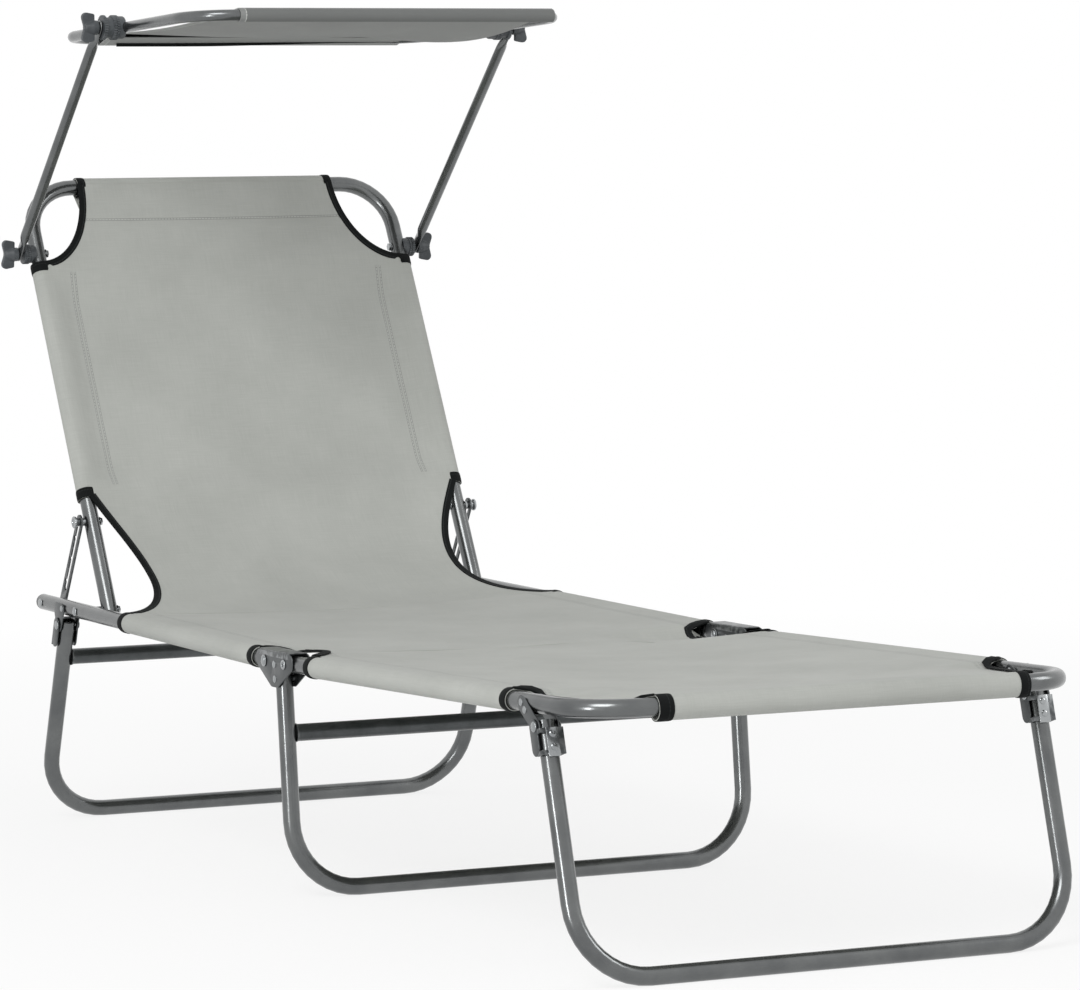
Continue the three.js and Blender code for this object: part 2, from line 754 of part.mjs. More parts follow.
// The bolt that the backrest turns on: head outside the rail, a spacer, then the backrest tube and a nut
function backrestPivot(seat, side, hand) {
  const tubeOuter = backSpread + tubeRadius;
  const nut = backSpread - tubeRadius - gap;
  const profile = [
    [nut - innerNutHeight, 0], [nut - innerNutHeight, innerNut], [nut, innerNut], [nut, pinRadius],
    [tubeOuter + gap, pinRadius], [tubeOuter + gap, studCollar], [railInner - gap, studCollar],
    [railInner - gap, pinRadius], [railOuter + gap, pinRadius], [railOuter + gap, pinHeadRadius],
    [railOuter + gap + pinHeadHeight, pinHeadRadius * pinCrownShare], [railOuter + gap + pinHeadHeight, 0],
  ];
  piece(seat, `backrest_pivot_${hand}`, turned(profile, side, backPivotPlace, 0), zinc);
}

// The rivet that a prop swings on, with a collar that holds it clear of the rail
function propPin(seat, side, hand) {
  const propOuter = propInner + propThickness;
  const head = propInner - gap - pinHeadHeight;
  const profile = [
    [head, 0], [head, pinHeadRadius * pinCrownShare], [head + pinHeadHeight, pinHeadRadius],
    [head + pinHeadHeight, pinRadius], [propOuter + gap, pinRadius], [propOuter + gap, studCollar],
    [railInner - gap, studCollar], [railInner - gap, pinRadius], [railOuter + gap, pinRadius],
    [railOuter + gap, pinHeadRadius], [railOuter + gap + pinHeadHeight, pinHeadRadius * pinCrownShare],
    [railOuter + gap + pinHeadHeight, 0],
  ];
  piece(seat, `prop_pin_${hand}`, turned(profile, side, propPlace, 0), zinc);
}

// A slotted prop: the stud slides down the slot, and the slanted notches hold it at each step
function prop(seat, side, hand) {
  const reach = 2 * propReach * Math.sin(backLean / 2);
  const outline = lobedOutline([[0, 0], [reach, 0]], propHalfWidth);
  const body = plate(outline, side, propInner, propInner + propThickness);
  const from = propInner - cutOverrun;
  const to = propInner + propThickness + cutOverrun;
  const slotRadius = studNeck + propSlotMargin;
  const slot = plate(lobedOutline([[propSlotLow, 0], [reach, 0]], slotRadius), side, from, to);
  const notches = propNotchPlaces.map((place) => {
    const line = [[place, 0], [place + propNotchLean, -propNotchReach]];
    return plate(lobedOutline(line, slotRadius / 2), side, from, to);
  });
  const hole = rod(side, from, to, pinRadius + gap);
  const swing = group(seat, propPlace, 0, quarterTurn + backLean / 2);
  piece(swing, `prop_${hand}`, cut(body, slot, hole, ...notches), zinc);
}

// The stud on the backrest tube: a nut inside, a collar, the neck that runs in the prop and a flared head
function propStud(back, side, hand) {
  const tubeOuter = backSpread + tubeRadius;
  const nut = backSpread - tubeRadius - gap;
  const neckStart = propInner - gap;
  const headStart = propInner + propThickness + gap;
  const headMid = (headStart + studHeadOuter) / 2;
  const profile = [
    [nut - innerNutHeight, 0], [nut - innerNutHeight, innerNut], [nut, innerNut], [nut, pinRadius],
    [tubeOuter + gap, pinRadius], [tubeOuter + gap, studCollar], [neckStart, studCollar],
    [neckStart, studNeck], [headStart, studNeck], [headStart, studCollar], [headMid, studCollar],
    [studHeadOuter - pinHeadHeight, studHeadRadius], [studHeadOuter, studHeadRadius], [studHeadOuter, 0],
  ];
  piece(back, `prop_stud_${hand}`, turned(profile, side, propReach, 0), zinc);
}

function backFrame(back) {
  const corners = [
    vector(-backSpread, -backStub, 0),
    vector(-backSpread, backLength, 0),
    vector(backSpread, backLength, 0),
    vector(backSpread, -backStub, 0),
  ];
  const holes = [];
  bothSides((side) => {
    [0, propReach, clampPlace].forEach((place) => {
      holes.push(pinHole(side, backSpread - tubeRadius, backSpread + tubeRadius, place, 0));
    });
  });
  const frame = tube(new BentPath(corners, backBend), tubeRadius, tubeWall, tubeSides);
  piece(back, 'backrest_frame', cut(frame, ...holes), steel);
}

// A disc with a toothed rim, square to X
function toothedDisc(side, size, inner, outer) {
  const shape = new THREE.Shape();
  for (let i = 0; i < 2 * discTeeth; i += 1) {
    const angle = (halfTurn * i) / discTeeth;
    const radius = i % 2 ? size : size - discToothDepth;
    const point = [radius * Math.cos(angle), radius * Math.sin(angle)];
    if (i) {
      shape.lineTo(...point);
    } else {
      shape.moveTo(...point);
    }
  }
  shape.closePath();
  return plate(shape, side, inner, outer);
}

// The saddle that hugs a tube from outside and ends in a toothed flange
function saddle(side, spread, radius, size) {
  const start = spread + radius - saddleReach;
  const flange = spread + radius + saddleBlock;
  const barrel = rod(side, start, flange + gap, size - discToothDepth, 0, 0, tubeSides);
  const body = joined(barrel, toothedDisc(side, size, flange, flange + saddleFlange));
  const hollow = (radius + gap) / Math.cos(halfTurn / sleeveSides);
  const notch = lengthwiseRod(side * spread, -size - cutOverrun, size + cutOverrun, hollow);
  return cut(body, notch, pinHole(side, start, flange + saddleFlange, 0, 0));
}

const tongueInner = armSpread - tongueThickness / 2;
const tongueOuter = armSpread + tongueThickness / 2;

// The toothed disc fixed to the arm's tongue. A deep one has two rims with a groove between.
function armDisc(side, spread, radius, size) {
  const start = spread + radius + saddleBlock + saddleFlange + gap;
  const end = tongueInner - gap;
  const hole = pinHole(side, start, end, 0, 0);
  if (end - start < 2 * rimThickness) {
    return cut(toothedDisc(side, size, start, end), hole);
  }
  const rims = [[start, start + rimThickness], [end - rimThickness, end]].map((range) => {
    return toothedDisc(side, size, ...range);
  });
  const core = rod(side, start + gap, end - gap, size - 2 * discToothDepth, 0, 0, tubeSides);
  return cut(joined(core, ...rims), hole);
}

// The clamp bolt: hex head inside the tube, shank through the stack, tail in the knob
function clampBolt(side, spread, radius) {
  const head = spread - radius - gap;
  const profile = [
    [head - innerNutHeight, 0], [head - innerNutHeight, innerNut], [head, innerNut], [head, pinRadius],
    [tongueOuter + boltTail, pinRadius], [tongueOuter + boltTail, 0],
  ];
  return turned(profile, side, 0, 0);
}

// The wing knob: a stepped hub and two rounded wings
function wingKnob(side, turn) {
  const start = tongueOuter + gap;
  const hub = turned([
    [start, 0], [start, knobHub], [start + knobLength / 2, knobHub],
    [start + knobLength, knobHub * pinCrownShare], [start + knobLength, 0],
  ], side, 0, 0, tubeSides);
  const wing = new THREE.Shape();
  const low = start + knobWingStart;
  const high = start + knobWingLength;
  const wingCentre = knobWingReach - knobWingRadius;
  wing.moveTo(-wingCentre, low);
  wing.lineTo(wingCentre, low);
  wing.absarc(wingCentre, high - knobWingRadius, knobWingRadius, 0, quarterTurn, false);
  wing.lineTo(knobHub * pinCrownShare, start + knobLength);
  wing.lineTo(-knobHub * pinCrownShare, start + knobLength);
  wing.absarc(-wingCentre, high - knobWingRadius, knobWingRadius, quarterTurn, halfTurn, false);
  wing.closePath();
  const options = { depth: knobWingThickness, bevelEnabled: false, curveSegments: lobeSteps };
  const blade = new THREE.ExtrudeGeometry(wing, options);
  blade.translate(0, 0, -knobWingThickness / 2);
  blade.rotateZ(-side * quarterTurn);
  const solid = cut(joined(hub, toSolid(blade)), pinHole(side, start, tongueOuter + boltTail, 0, 0));
  return solid.rotate([THREE.MathUtils.radToDeg(turn), 0, 0]);
}

function arm(side) {
  const x = side * armSpread;
  const tubeStart = tongueLength - tongueTuck;
  const path = new BentPath([vector(x, tubeStart, 0), vector(x, armLength - tubeStart, 0)], 0);
  const tongues = [0, 1].map((end) => {
    const place = end * armLength;
    const tip = place + (1 - 2 * end) * (tongueLength - tongueHalfWidth);
    const line = end ? [[tip, 0], [place, 0]] : [[place, 0], [tip, 0]];
    return plate(lobedOutline(line, tongueHalfWidth), side, tongueInner, tongueOuter);
  });
  const holes = [0, armLength].map((place) => pinHole(side, tongueInner, tongueOuter, place, 0));
  const shank = tube(path, slimRadius, slimWall, slimSides);
  return cut(joined(shank, ...tongues), ...holes);
}

function canopyPaths() {
  return [-1, 1].map((side) => new BentPath([
    vector(-side * weldOverlap, -canopyFront, 0),
    vector(side * canopySpread, -canopyFront, 0),
    vector(side * canopySpread, canopyRear, 0),
    vector(-side * weldOverlap, canopyRear, 0),
  ], canopyBend));
}

function canopyFrame(canopy) {
  const halves = canopyPaths().map((path) => tube(path, slimRadius, slimWall, slimSides));
  const holes = [-1, 1].map((side) => {
    return pinHole(side, canopySpread - slimRadius, canopySpread + slimRadius, 0, 0);
  });
  piece(canopy, 'canopy_frame', cut(joined(...halves), ...holes), steel);
}

function canopyFabric(canopy) {
  const bore = slimRadius + sleeveBore;
  const outer = bore + clothThickness;
  const depth = canopyFront + canopyRear;
  const sheet = clothSheet((across, y) => {
    const x = THREE.MathUtils.lerp(canopyClothLeft, canopyClothRight, across);
    const hang = (1 + arcDip(across, 1)) / 2;
    return vector(x, y, outer - clothTuck - arcDip((y + canopyFront) / depth, canopySag) * hang);
  }, [...stretch(-canopyFront, canopyRear, 9), canopyRear]);
  const bars = [-canopyFront, canopyRear];
  const walls = bars.map((y) => rod(1, canopyClothLeft, canopyClothRight, outer, y, 0, tubeSides));
  const from = canopyClothLeft - cutOverrun;
  const bores = bars.map((y) => rod(1, from, canopyClothRight + cutOverrun, bore, y, 0, tubeSides));
  const bends = canopyPaths().map((path) => sweep(path, new THREE.Shape(polygon(bore, slimSides, 0))));
  piece(canopy, 'canopy_fabric', cut(joined(sheet, ...walls), ...bores, ...bends), cloth);
}

// The clamps at one end of the arms: saddle and bolt on the carrier, disc on the arm, knob outside
function clamps(carrier, place, arms, armPlace, name, spread, radius, size, knobTurn) {
  bothSides((side, hand) => {
    const move = [0, place, 0];
    piece(carrier, `${name}_saddle_${hand}`, saddle(side, spread, radius, size).translate(move), plastic);
    piece(carrier, `${name}_bolt_${hand}`, clampBolt(side, spread, radius).translate(move), zinc);
    const disc = armDisc(side, spread, radius, size).translate([0, armPlace, 0]);
    piece(arms, `${name}_disc_${hand}`, disc, plastic);
    piece(arms, `${name}_knob_${hand}`, wingKnob(side, knobTurn).translate([0, armPlace, 0]), plastic);
  });
}

const backTop = railPivotOffset + backPivotPlace + backLength * Math.cos(backAngle) + sleeveOuter;
const footEnd = railPivotOffset + footBarReach + sleeveOuter;

const lounger = new THREE.Group();
lounger.position.y = (footEnd - backTop) / 2;

const middle = group(lounger, 0, hingeHeight, 0);
bothSides((side, hand) => midBracket(middle, side, hand));
midLeg(middle);

const seat = group(lounger, railPivotOffset, hingeHeight, seatRise);
seatRails(seat);
seatFabric(seat);
clips(seat, 'rear', rearLegPlace, rearClipSpan, rearClipRivet());
const rearPivotHeight = hingeHeight + rearLegPlace * Math.sin(seatRise) - legPivotDrop * Math.cos(seatRise);
foldingLeg(seat, 'rear', rearLegPlace, rearLegLean, 1, rearPivotHeight, rearCrossbarDrop);
bothSides((side, hand) => {
  backrestPivot(seat, side, hand);
  propPin(seat, side, hand);
  prop(seat, side, hand);
});

const foot = group(lounger, -railPivotOffset, hingeHeight, -footRise);
footFrame(foot);
footFabric(foot);
clips(foot, 'front', -frontLegPlace, frontClipSpan, frontClipRivet());
const frontPivotHeight = hingeHeight + frontLegPlace * Math.sin(footRise) - legPivotDrop * Math.cos(footRise);
foldingLeg(foot, 'front', -frontLegPlace, -frontLegLean, -1, frontPivotHeight, 0);

const back = group(seat, backPivotPlace, 0, backLean);
backFrame(back);
backFabric(back);
bothSides((side, hand) => propStud(back, side, hand));

const arms = group(back, clampPlace, 0, armAngle - backAngle);
bothSides((side, hand) => piece(arms, `canopy_arm_${hand}`, arm(side), darkSteel));
const canopy = group(arms, armLength, 0, canopyTilt - armAngle);
canopyFrame(canopy);
canopyFabric(canopy);
clamps(back, clampPlace, arms, 0, 'lower', backSpread, tubeRadius, lowerDiscRadius, lowerKnobTurn);
clamps(canopy, 0, arms, armLength, 'upper', canopySpread, slimRadius, upperDiscRadius, upperKnobTurn);

export default lounger;
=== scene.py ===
# Sun lounger with canopy. Two half frames of bent steel tube fold on a middle bracket, three bent legs
# carry them, a cloth is slung between the rails, and a canopy stands on two arms behind the backrest.
from math import atan2, ceil, cos, pi, radians, sin, sqrt, tan

import bpy
from mathutils import Matrix, Vector, noise


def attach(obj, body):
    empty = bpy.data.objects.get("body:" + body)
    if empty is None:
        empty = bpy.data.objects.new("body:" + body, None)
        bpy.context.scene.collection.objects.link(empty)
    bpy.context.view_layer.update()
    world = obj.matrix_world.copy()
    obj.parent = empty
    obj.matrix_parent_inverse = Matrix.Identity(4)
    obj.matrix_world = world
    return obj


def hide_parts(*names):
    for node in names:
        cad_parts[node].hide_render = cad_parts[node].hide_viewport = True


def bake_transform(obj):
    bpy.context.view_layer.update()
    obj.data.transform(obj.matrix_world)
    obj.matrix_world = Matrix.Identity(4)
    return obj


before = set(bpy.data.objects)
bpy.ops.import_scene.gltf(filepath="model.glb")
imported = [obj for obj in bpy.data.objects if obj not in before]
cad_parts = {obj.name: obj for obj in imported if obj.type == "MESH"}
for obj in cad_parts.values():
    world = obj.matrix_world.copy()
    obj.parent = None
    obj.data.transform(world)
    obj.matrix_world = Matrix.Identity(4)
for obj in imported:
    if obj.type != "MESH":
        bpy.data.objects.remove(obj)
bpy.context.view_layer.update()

# Seat rails: one straight length of 19 mm steel tube at each side, in a gunmetal lacquer with fine metal
# flake. They carry the clips, the middle bracket and the backrest's pivots.
mm = 0.001
tube_radius = 9.5
tube_wall = 1.2
rail_spread = 280
seat_rail_end = 718
rail_stub = 6.5
bed_height = 259
X, Y, Z = Vector((1, 0, 0)), Vector((0, 1, 0)), Vector((0, 0, 1))


def held(y, z, lift):
    """Where a frame part is held: a point on the middle plane, and its turn about the X axis."""
    return Matrix.Translation((0, y * mm, z * mm)) @ Matrix.Rotation(radians(lift), 4, "X")


seat_place = held(-44.644, bed_height, 0.8)
sides = {"left": -1, "right": 1}


class Wire:
    """A value on its way through a material's nodes. Arithmetic on it adds Math nodes."""

    def __init__(self, finish, socket):
        self.finish = finish
        self.socket = socket

    def math(self, operation, first, second):
        return self.finish.add("Math", {"operation": operation}, {0: first, 1: second})

    def __add__(self, other):
        return self.math("ADD", self, other)

    def __radd__(self, other):
        return self.math("ADD", other, self)

    def __sub__(self, other):
        return self.math("SUBTRACT", self, other)

    def __rsub__(self, other):
        return self.math("SUBTRACT", other, self)

    def __mul__(self, other):
        return self.math("MULTIPLY", self, other)

    def __rmul__(self, other):
        return self.math("MULTIPLY", other, self)

    def __abs__(self):
        return self.math("ABSOLUTE", self, 0)

    def __mod__(self, other):
        return self.math("FLOORED_MODULO", self, other)

    def above(self, limit):
        return self.math("GREATER_THAN", self, limit)

    def below(self, limit):
        return self.math("LESS_THAN", self, limit)


class Finish:
    """One surface finish: its material, its nodes and the record's slot that it belongs to."""

    def __init__(self, name, slot):
        self.slot = slot
        self.material = bpy.data.materials.new(name)
        self.material.use_nodes = True
        self.nodes = self.material.node_tree.nodes
        self.shader = self.nodes["Principled BSDF"]
        self.place = self.add("TexCoord", out="Object")

    def join(self, socket, value):
        if isinstance(value, Wire):
            self.material.node_tree.links.new(value.socket, socket)
        else:
            socket.default_value = value

    def add(self, kind, settings=None, sockets=None, out=0):
        made = self.nodes.new("ShaderNode" + kind)
        for name, value in (settings or {}).items():
            setattr(made, name, value)
        for name, value in (sockets or {}).items():
            self.join(made.inputs[name], value)
        return Wire(self, made.outputs[out])

    def ramp(self, value, low, high):
        """The value stretched so that low becomes nought and high becomes one."""
        return self.add("MapRange", {"clamp": True}, {"Value": value, "From Min": low, "From Max": high})

    def noise(self, scale, detail=2.0, rough=0.5, place=None):
        sockets = {"Vector": place or self.place, "Scale": scale, "Detail": detail, "Roughness": rough}
        return self.add("TexNoise", None, sockets)

    def stretched(self, scale, place=None):
        return self.add("Mapping", None, {"Vector": place or self.place, "Scale": scale})

    def mix(self, factor, first, second):
        sockets = {0: factor, 6: first, 7: second}
        return self.add("Mix", {"data_type": "RGBA"}, sockets, out=2)

    def bump(self, height, distance, strength=1.0):
        self.set("Normal", self.add("Bump", None, {"Strength": strength, "Distance": distance, "Height": height}))

    def set(self, socket, value):
        self.join(self.shader.inputs[socket], value)


def shade(red, green, blue):
    """A colour read from its screen values, as the linear light that a shader takes."""
    linear = [((c / 255 + 0.055) / 1.055) ** 2.4 for c in (red, green, blue)]
    return (*linear, 1.0)


def lacquered_metal(name, slot, dark, light, roughness, metallic, grain=900, wear=0.0):
    """Metal under lacquer or plating: clouded tone, fine flake, faint handling marks along the tube."""
    finish = Finish(name, slot)
    cloud = finish.noise(22, 4, 0.6)
    flake = finish.noise(grain, 2, 0.5)
    drag = finish.noise(14, 3, 0.5, finish.stretched((5, 1.2, 3)))
    tone = finish.ramp(cloud * 0.85 + flake * 0.15, 0.34, 0.66)
    colour = finish.mix(tone, dark, light)
    if wear:
        edge = finish.add("NewGeometry", None, None, "Pointiness")
        worn = finish.ramp(edge, 0.53, 0.62) * finish.ramp(finish.noise(160, 3), 0.42, 0.6) * wear
        colour = finish.mix(worn, colour, shade(196, 198, 199))
    finish.set("Base Color", colour)
    finish.set("Metallic", metallic)
    finish.set("Roughness", roughness - 0.03 + finish.ramp(drag, 0.35, 0.7) * 0.06)
    finish.set("Coat Weight", 0.12)
    finish.set("Coat Roughness", 0.12)
    finish.bump(flake * 0.12 + cloud, 0.00003, 0.2)
    return finish


tube_finish = lacquered_metal(
    "gunmetal_lacquer", "frame_tube", shade(98, 100, 101), shade(114, 116, 116), 0.24, 0.94)


def set_down():
    """Takes the place and the turn of the piece in hand into its mesh."""
    bpy.ops.object.transform_apply(location=True, rotation=True, scale=True)


def edit(action="DESELECT"):
    bpy.ops.object.mode_set(mode="EDIT")
    bpy.ops.mesh.select_mode(type="VERT")
    bpy.ops.mesh.select_all(action=action)


def pick(test):
    """Selects the points of the piece in hand whose place passes a test, and stays in edit mode."""
    bpy.ops.object.mode_set(mode="OBJECT")
    mesh = bpy.context.object.data
    for item in [*mesh.polygons, *mesh.edges]:
        item.select = False
    for point in mesh.vertices:
        point.select = test(point.co)
    bpy.ops.object.mode_set(mode="EDIT")


def grow(move):
    bpy.ops.mesh.extrude_region_move(TRANSFORM_OT_translate={"value": tuple(move)})


def quarter_bend(at, inward, heading, bend, steps=10):
    """Carries what is selected round a quarter bend towards inward."""
    centre = at + inward * bend
    bpy.ops.mesh.spin(steps=steps, angle=pi / 2, center=tuple(centre), axis=tuple(inward.cross(heading)))
    return centre + heading * bend


def modify(kind, **settings):
    piece = bpy.context.object
    modifier = piece.modifiers.new(kind.lower(), kind)
    for name, value in settings.items():
        setattr(modifier, name, value)
    bpy.ops.object.modifier_apply(modifier=modifier.name)


def close_up():
    """Merges double points, turns every face outward and leaves edit mode."""
    bpy.ops.mesh.select_all(action="SELECT")
    bpy.ops.mesh.remove_doubles(threshold=2e-6)
    bpy.ops.mesh.normals_make_consistent(inside=False)
    bpy.ops.object.mode_set(mode="OBJECT")


def start_ring(radius, at, turn, facets, fill="NOTHING"):
    """A ring or a disc in edit mode, ready to be drawn out."""
    bpy.ops.object.select_all(action="DESELECT")
    bpy.ops.mesh.primitive_circle_add(
        vertices=facets, radius=radius * mm, fill_type=fill, location=at, rotation=turn)
    set_down()
    edit("SELECT")


def bend_tube(start, heading, moves, radius=tube_radius, wall=tube_wall, facets=32):
    """Draws a tube from a ring. A move is a straight length, or (inward, bend radius) for a quarter bend."""
    at = Vector(start) * mm
    start_ring(radius, at, Z.rotation_difference(heading).to_euler(), facets)
    for move in moves:
        if isinstance(move, tuple):
            inward, bend = move
            at = quarter_bend(at, inward, heading, bend * mm)
            heading = inward
        else:
            grow(heading * move * mm)
            at = at + heading * move * mm
    close_up()
    modify("SOLIDIFY", thickness=wall * mm, offset=-1)


def dress(piece, name, where, finish, smooth):
    """Puts a piece in its place, rounds its shading and gives it its finish."""
    bpy.context.view_layer.objects.active = piece
    piece.name = name
    piece.matrix_world = where
    set_down()
    bpy.ops.object.shade_smooth_by_angle(angle=radians(smooth))
    piece.data.materials.clear()
    piece.data.materials.append(finish.material)
    return piece


def settle(name, where, body, finish, *nodes, smooth=32):
    """Dresses the piece in hand, and lets it ride on its body and stand for its nodes."""
    piece = dress(bpy.context.object, name, where, finish, smooth)
    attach(piece, body)
    if nodes:
        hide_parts(*nodes)


for hand, side in sides.items():
    bend_tube((side * rail_spread, -rail_stub, 0), Y, [seat_rail_end + rail_stub])
    settle(f"seat_rail_tube_{hand}", seat_place, "seat", tube_finish, f"seat_rail_{hand}")

# Rail plugs: moulded black plastic caps with a rounded crown. Each is pressed into the head end of a rail
# by its spigot, and its rim lies on the end of the tube.
plug_crown, plug_rim = 7, 1.6


def bevel(width, segments=3, angle=40):
    modify("BEVEL", width=width * mm, segments=segments, limit_method="ANGLE", angle_limit=radians(angle))


def turn_up(at, axis, stations, facets=32, soften=0.25):
    """Turns a solid on its axis: a disc carried to each (distance, radius) and resized there."""
    at = Vector(at)
    first, radius = stations[0]
    start_ring(radius, (at + axis * first) * mm, Z.rotation_difference(axis).to_euler(), facets, "NGON")
    for (here, old), (there, new) in zip(stations, stations[1:]):
        grow(axis * (there - here) * mm)
        bpy.ops.transform.resize(value=(new / old,) * 3, center_override=(at + axis * there) * mm)
    close_up()
    if soften:
        bevel(soften, 2)
    return bpy.context.object


def moulded_plastic(name, slot, dark, light, roughness, grain=700, rub=0.35):
    """Moulded plastic: a faint cloud in the colour, a fine eroded grain, and paler rubbed edges."""
    finish = Finish(name, slot)
    cloud = finish.noise(45, 4, 0.6)
    grain_noise = finish.noise(grain, 3, 0.65)
    edge = finish.add("NewGeometry", None, None, "Pointiness")
    rubbed = finish.ramp(edge, 0.52, 0.6) * finish.ramp(finish.noise(140, 2), 0.35, 0.6) * rub
    base = finish.mix(finish.ramp(cloud * 0.7 + grain_noise * 0.3, 0.35, 0.65), dark, light)
    finish.set("Base Color", finish.mix(rubbed, base, shade(128, 131, 133)))
    finish.set("Roughness", roughness + finish.ramp(grain_noise, 0.3, 0.7) * 0.14)
    finish.set("Specular IOR Level", 0.45)
    finish.bump(grain_noise, 0.00008, 0.6)
    return finish


plug_finish = moulded_plastic("black_cap_plastic", "plug_plastic", shade(58, 61, 63), shade(74, 77, 79), 0.42)
for hand, side in sides.items():
    crown = [(0.3, tube_radius - 0.1), (plug_rim, tube_radius)]
    for rise in (0.35, 0.7, 1.0, 1.25, 1.42, 1.52):
        crown.append((plug_rim + (plug_crown - plug_rim) * sin(rise), tube_radius * cos(rise)))
    turn_up((side * rail_spread, seat_rail_end, 0), Y, [(-6, 7.9), (0.3, 7.9), *crown])
    settle(f"rail_cap_{hand}", seat_place, "seat", plug_finish, f"rail_plug_{hand}")

# Middle bracket: a pressed steel saddle over the rails at each side. Two plates, a folded strip at each end,
# and two rivets that hold the middle leg. The half frames turn on its two pivots.
sheet = 1.5
clear = 0.3
plate_inner = rail_spread - tube_radius - clear - sheet
plate_outer = rail_spread + tube_radius + clear + sheet
bracket_lobes = [(6, -17), (40, 2), (-40, 2), (-6, -17)]
lobe_radius = 10.2
middle_place = held(-71.644, bed_height, 0)
bracket_finish = lacquered_metal(
    "bracket_steel", "bracket_steel", shade(66, 69, 70), shade(88, 91, 92), 0.34, 0.85, 900, wear=0.9)


def hull_of(rounds, depth, turn, facets):
    """The hull round some short rods, left in edit mode. A rod is its radius and the place of its middle."""
    bpy.ops.object.select_all(action="DESELECT")
    for i, (radius, place) in enumerate(rounds):
        bpy.ops.mesh.primitive_cylinder_add(
            vertices=facets, radius=radius * mm, depth=depth * mm, location=[value * mm for value in place],
            rotation=turn)
        if i == 0:
            set_down()
            edit()
    bpy.ops.mesh.select_all(action="SELECT")
    bpy.ops.mesh.convex_hull()


def plate(lobes, radius, low, high, soften=0.4):
    """A flat plate square to X whose outline runs round a lobe at each point."""
    rounds = [(radius, ((low + high) / 2, y, z)) for y, z in lobes]
    hull_of(rounds, abs(high - low), (0, pi / 2, 0), 48)
    bpy.ops.mesh.dissolve_limited(angle_limit=0.01)
    close_up()
    if soften:
        bevel(soften)
    return bpy.context.object


def cheeks(lobes, radius, side, inner, outer, soften=0.4):
    """A pair of like plates, one against each side of a tube."""
    return [plate(lobes, radius, side * low, side * high, soften)
            for low, high in ((inner, inner + sheet), (outer - sheet, outer))]


def folded_strip(side, span, low, top, inner, outer, fold=2.6):
    """A sheet strip folded over the rail: up one plate, across, and down the other, a hair proud of both."""
    proud = 0.15
    inner, outer = inner - proud, outer + proud
    bpy.ops.object.select_all(action="DESELECT")
    (start, end), rise = span, top - fold - low
    centre = Vector((side * outer, (start + end) / 2, low + rise / 2)) * mm
    bpy.ops.mesh.primitive_plane_add(size=mm, location=centre, rotation=(0, pi / 2, 0))
    set_down()
    edit("SELECT")
    bpy.ops.transform.resize(value=(1, end - start, rise), center_override=centre)
    pick(lambda place: place.z > (top - fold - 0.1) * mm)
    at = Vector((side * outer, (start + end) / 2, top - fold)) * mm
    at = quarter_bend(at, -side * X, Z, fold * mm, 6)
    grow(-side * X * (outer - inner - 2 * fold) * mm)
    at = at - side * X * (outer - inner - 2 * fold) * mm
    quarter_bend(at, -Z, -side * X, fold * mm, 6)
    grow(-Z * rise * mm)
    close_up()
    modify("SOLIDIFY", thickness=sheet * mm, offset=-1)
    bevel(0.4, 2, 50)
    return bpy.context.object


def joined(*pieces):
    bpy.ops.object.select_all(action="DESELECT")
    for piece in pieces:
        piece.select_set(True)
    bpy.context.view_layer.objects.active = pieces[0]
    bpy.ops.object.join()
    return pieces[0]


def dome(face, radius, height):
    """The stations of a low round head that stands on a face."""
    return [(face, radius), (face + height * 0.35, radius * 0.97), (face + height * 0.75, radius * 0.78),
            (face + height * 0.95, radius * 0.5), (face + height, radius * 0.2)]


def bored(piece, *cutters):
    for cutter in cutters:
        bpy.ops.object.select_all(action="DESELECT")
        bpy.context.view_layer.objects.active = piece
        piece.select_set(True)
        modify("BOOLEAN", object=cutter, operation="DIFFERENCE", solver="EXACT")
        bpy.data.objects.remove(cutter)
    return piece


for hand, side in sides.items():
    plates = cheeks(bracket_lobes, lobe_radius, side, plate_inner, plate_outer, 0)
    for face in plates:
        bored(face, plate([(4, -3)], 1.6, side * (plate_inner - 2), side * (plate_outer + 2), 0))
        bevel(0.45)
    plates.append(folded_strip(side, (-41, 41), 6, 13.2, plate_inner, plate_outer))
    joined(*plates)
    settle(f"middle_saddle_{hand}", middle_place, "middle_frame", bracket_finish, f"mid_bracket_{hand}")

# Middle pivots: at the seat half a screw with a washer and a locked nut, at the foot half a hollow rivet,
# all zinc plated. Two round-headed rivets below them hold the middle leg, along its lean.
mid_leg_lean = 5.5
middle_pivot_y = 27
zinc_finish = lacquered_metal(
    "bright_zinc", "bright_zinc", shade(136, 139, 141), shade(168, 171, 172), 0.2, 0.95, 1200, wear=0.5)


def nut(at, axis, start, across, height):
    """A hexagon nut with its corners turned off."""
    stations = [(start, across * 0.93), (start + 0.5, across), (start + height - 0.6, across),
                (start + height, across * 0.9)]
    return turn_up(at, axis, stations, 6, soften=0.2)


def round_headed(at, axis, low, high, radius, height, facets=24):
    """A rivet with a low round head at each side."""
    head = dome(0, radius, height)
    stations = [(low - far, size) for far, size in reversed(head)] + [(high + far, size) for far, size in head]
    return turn_up(at, axis, stations, facets)


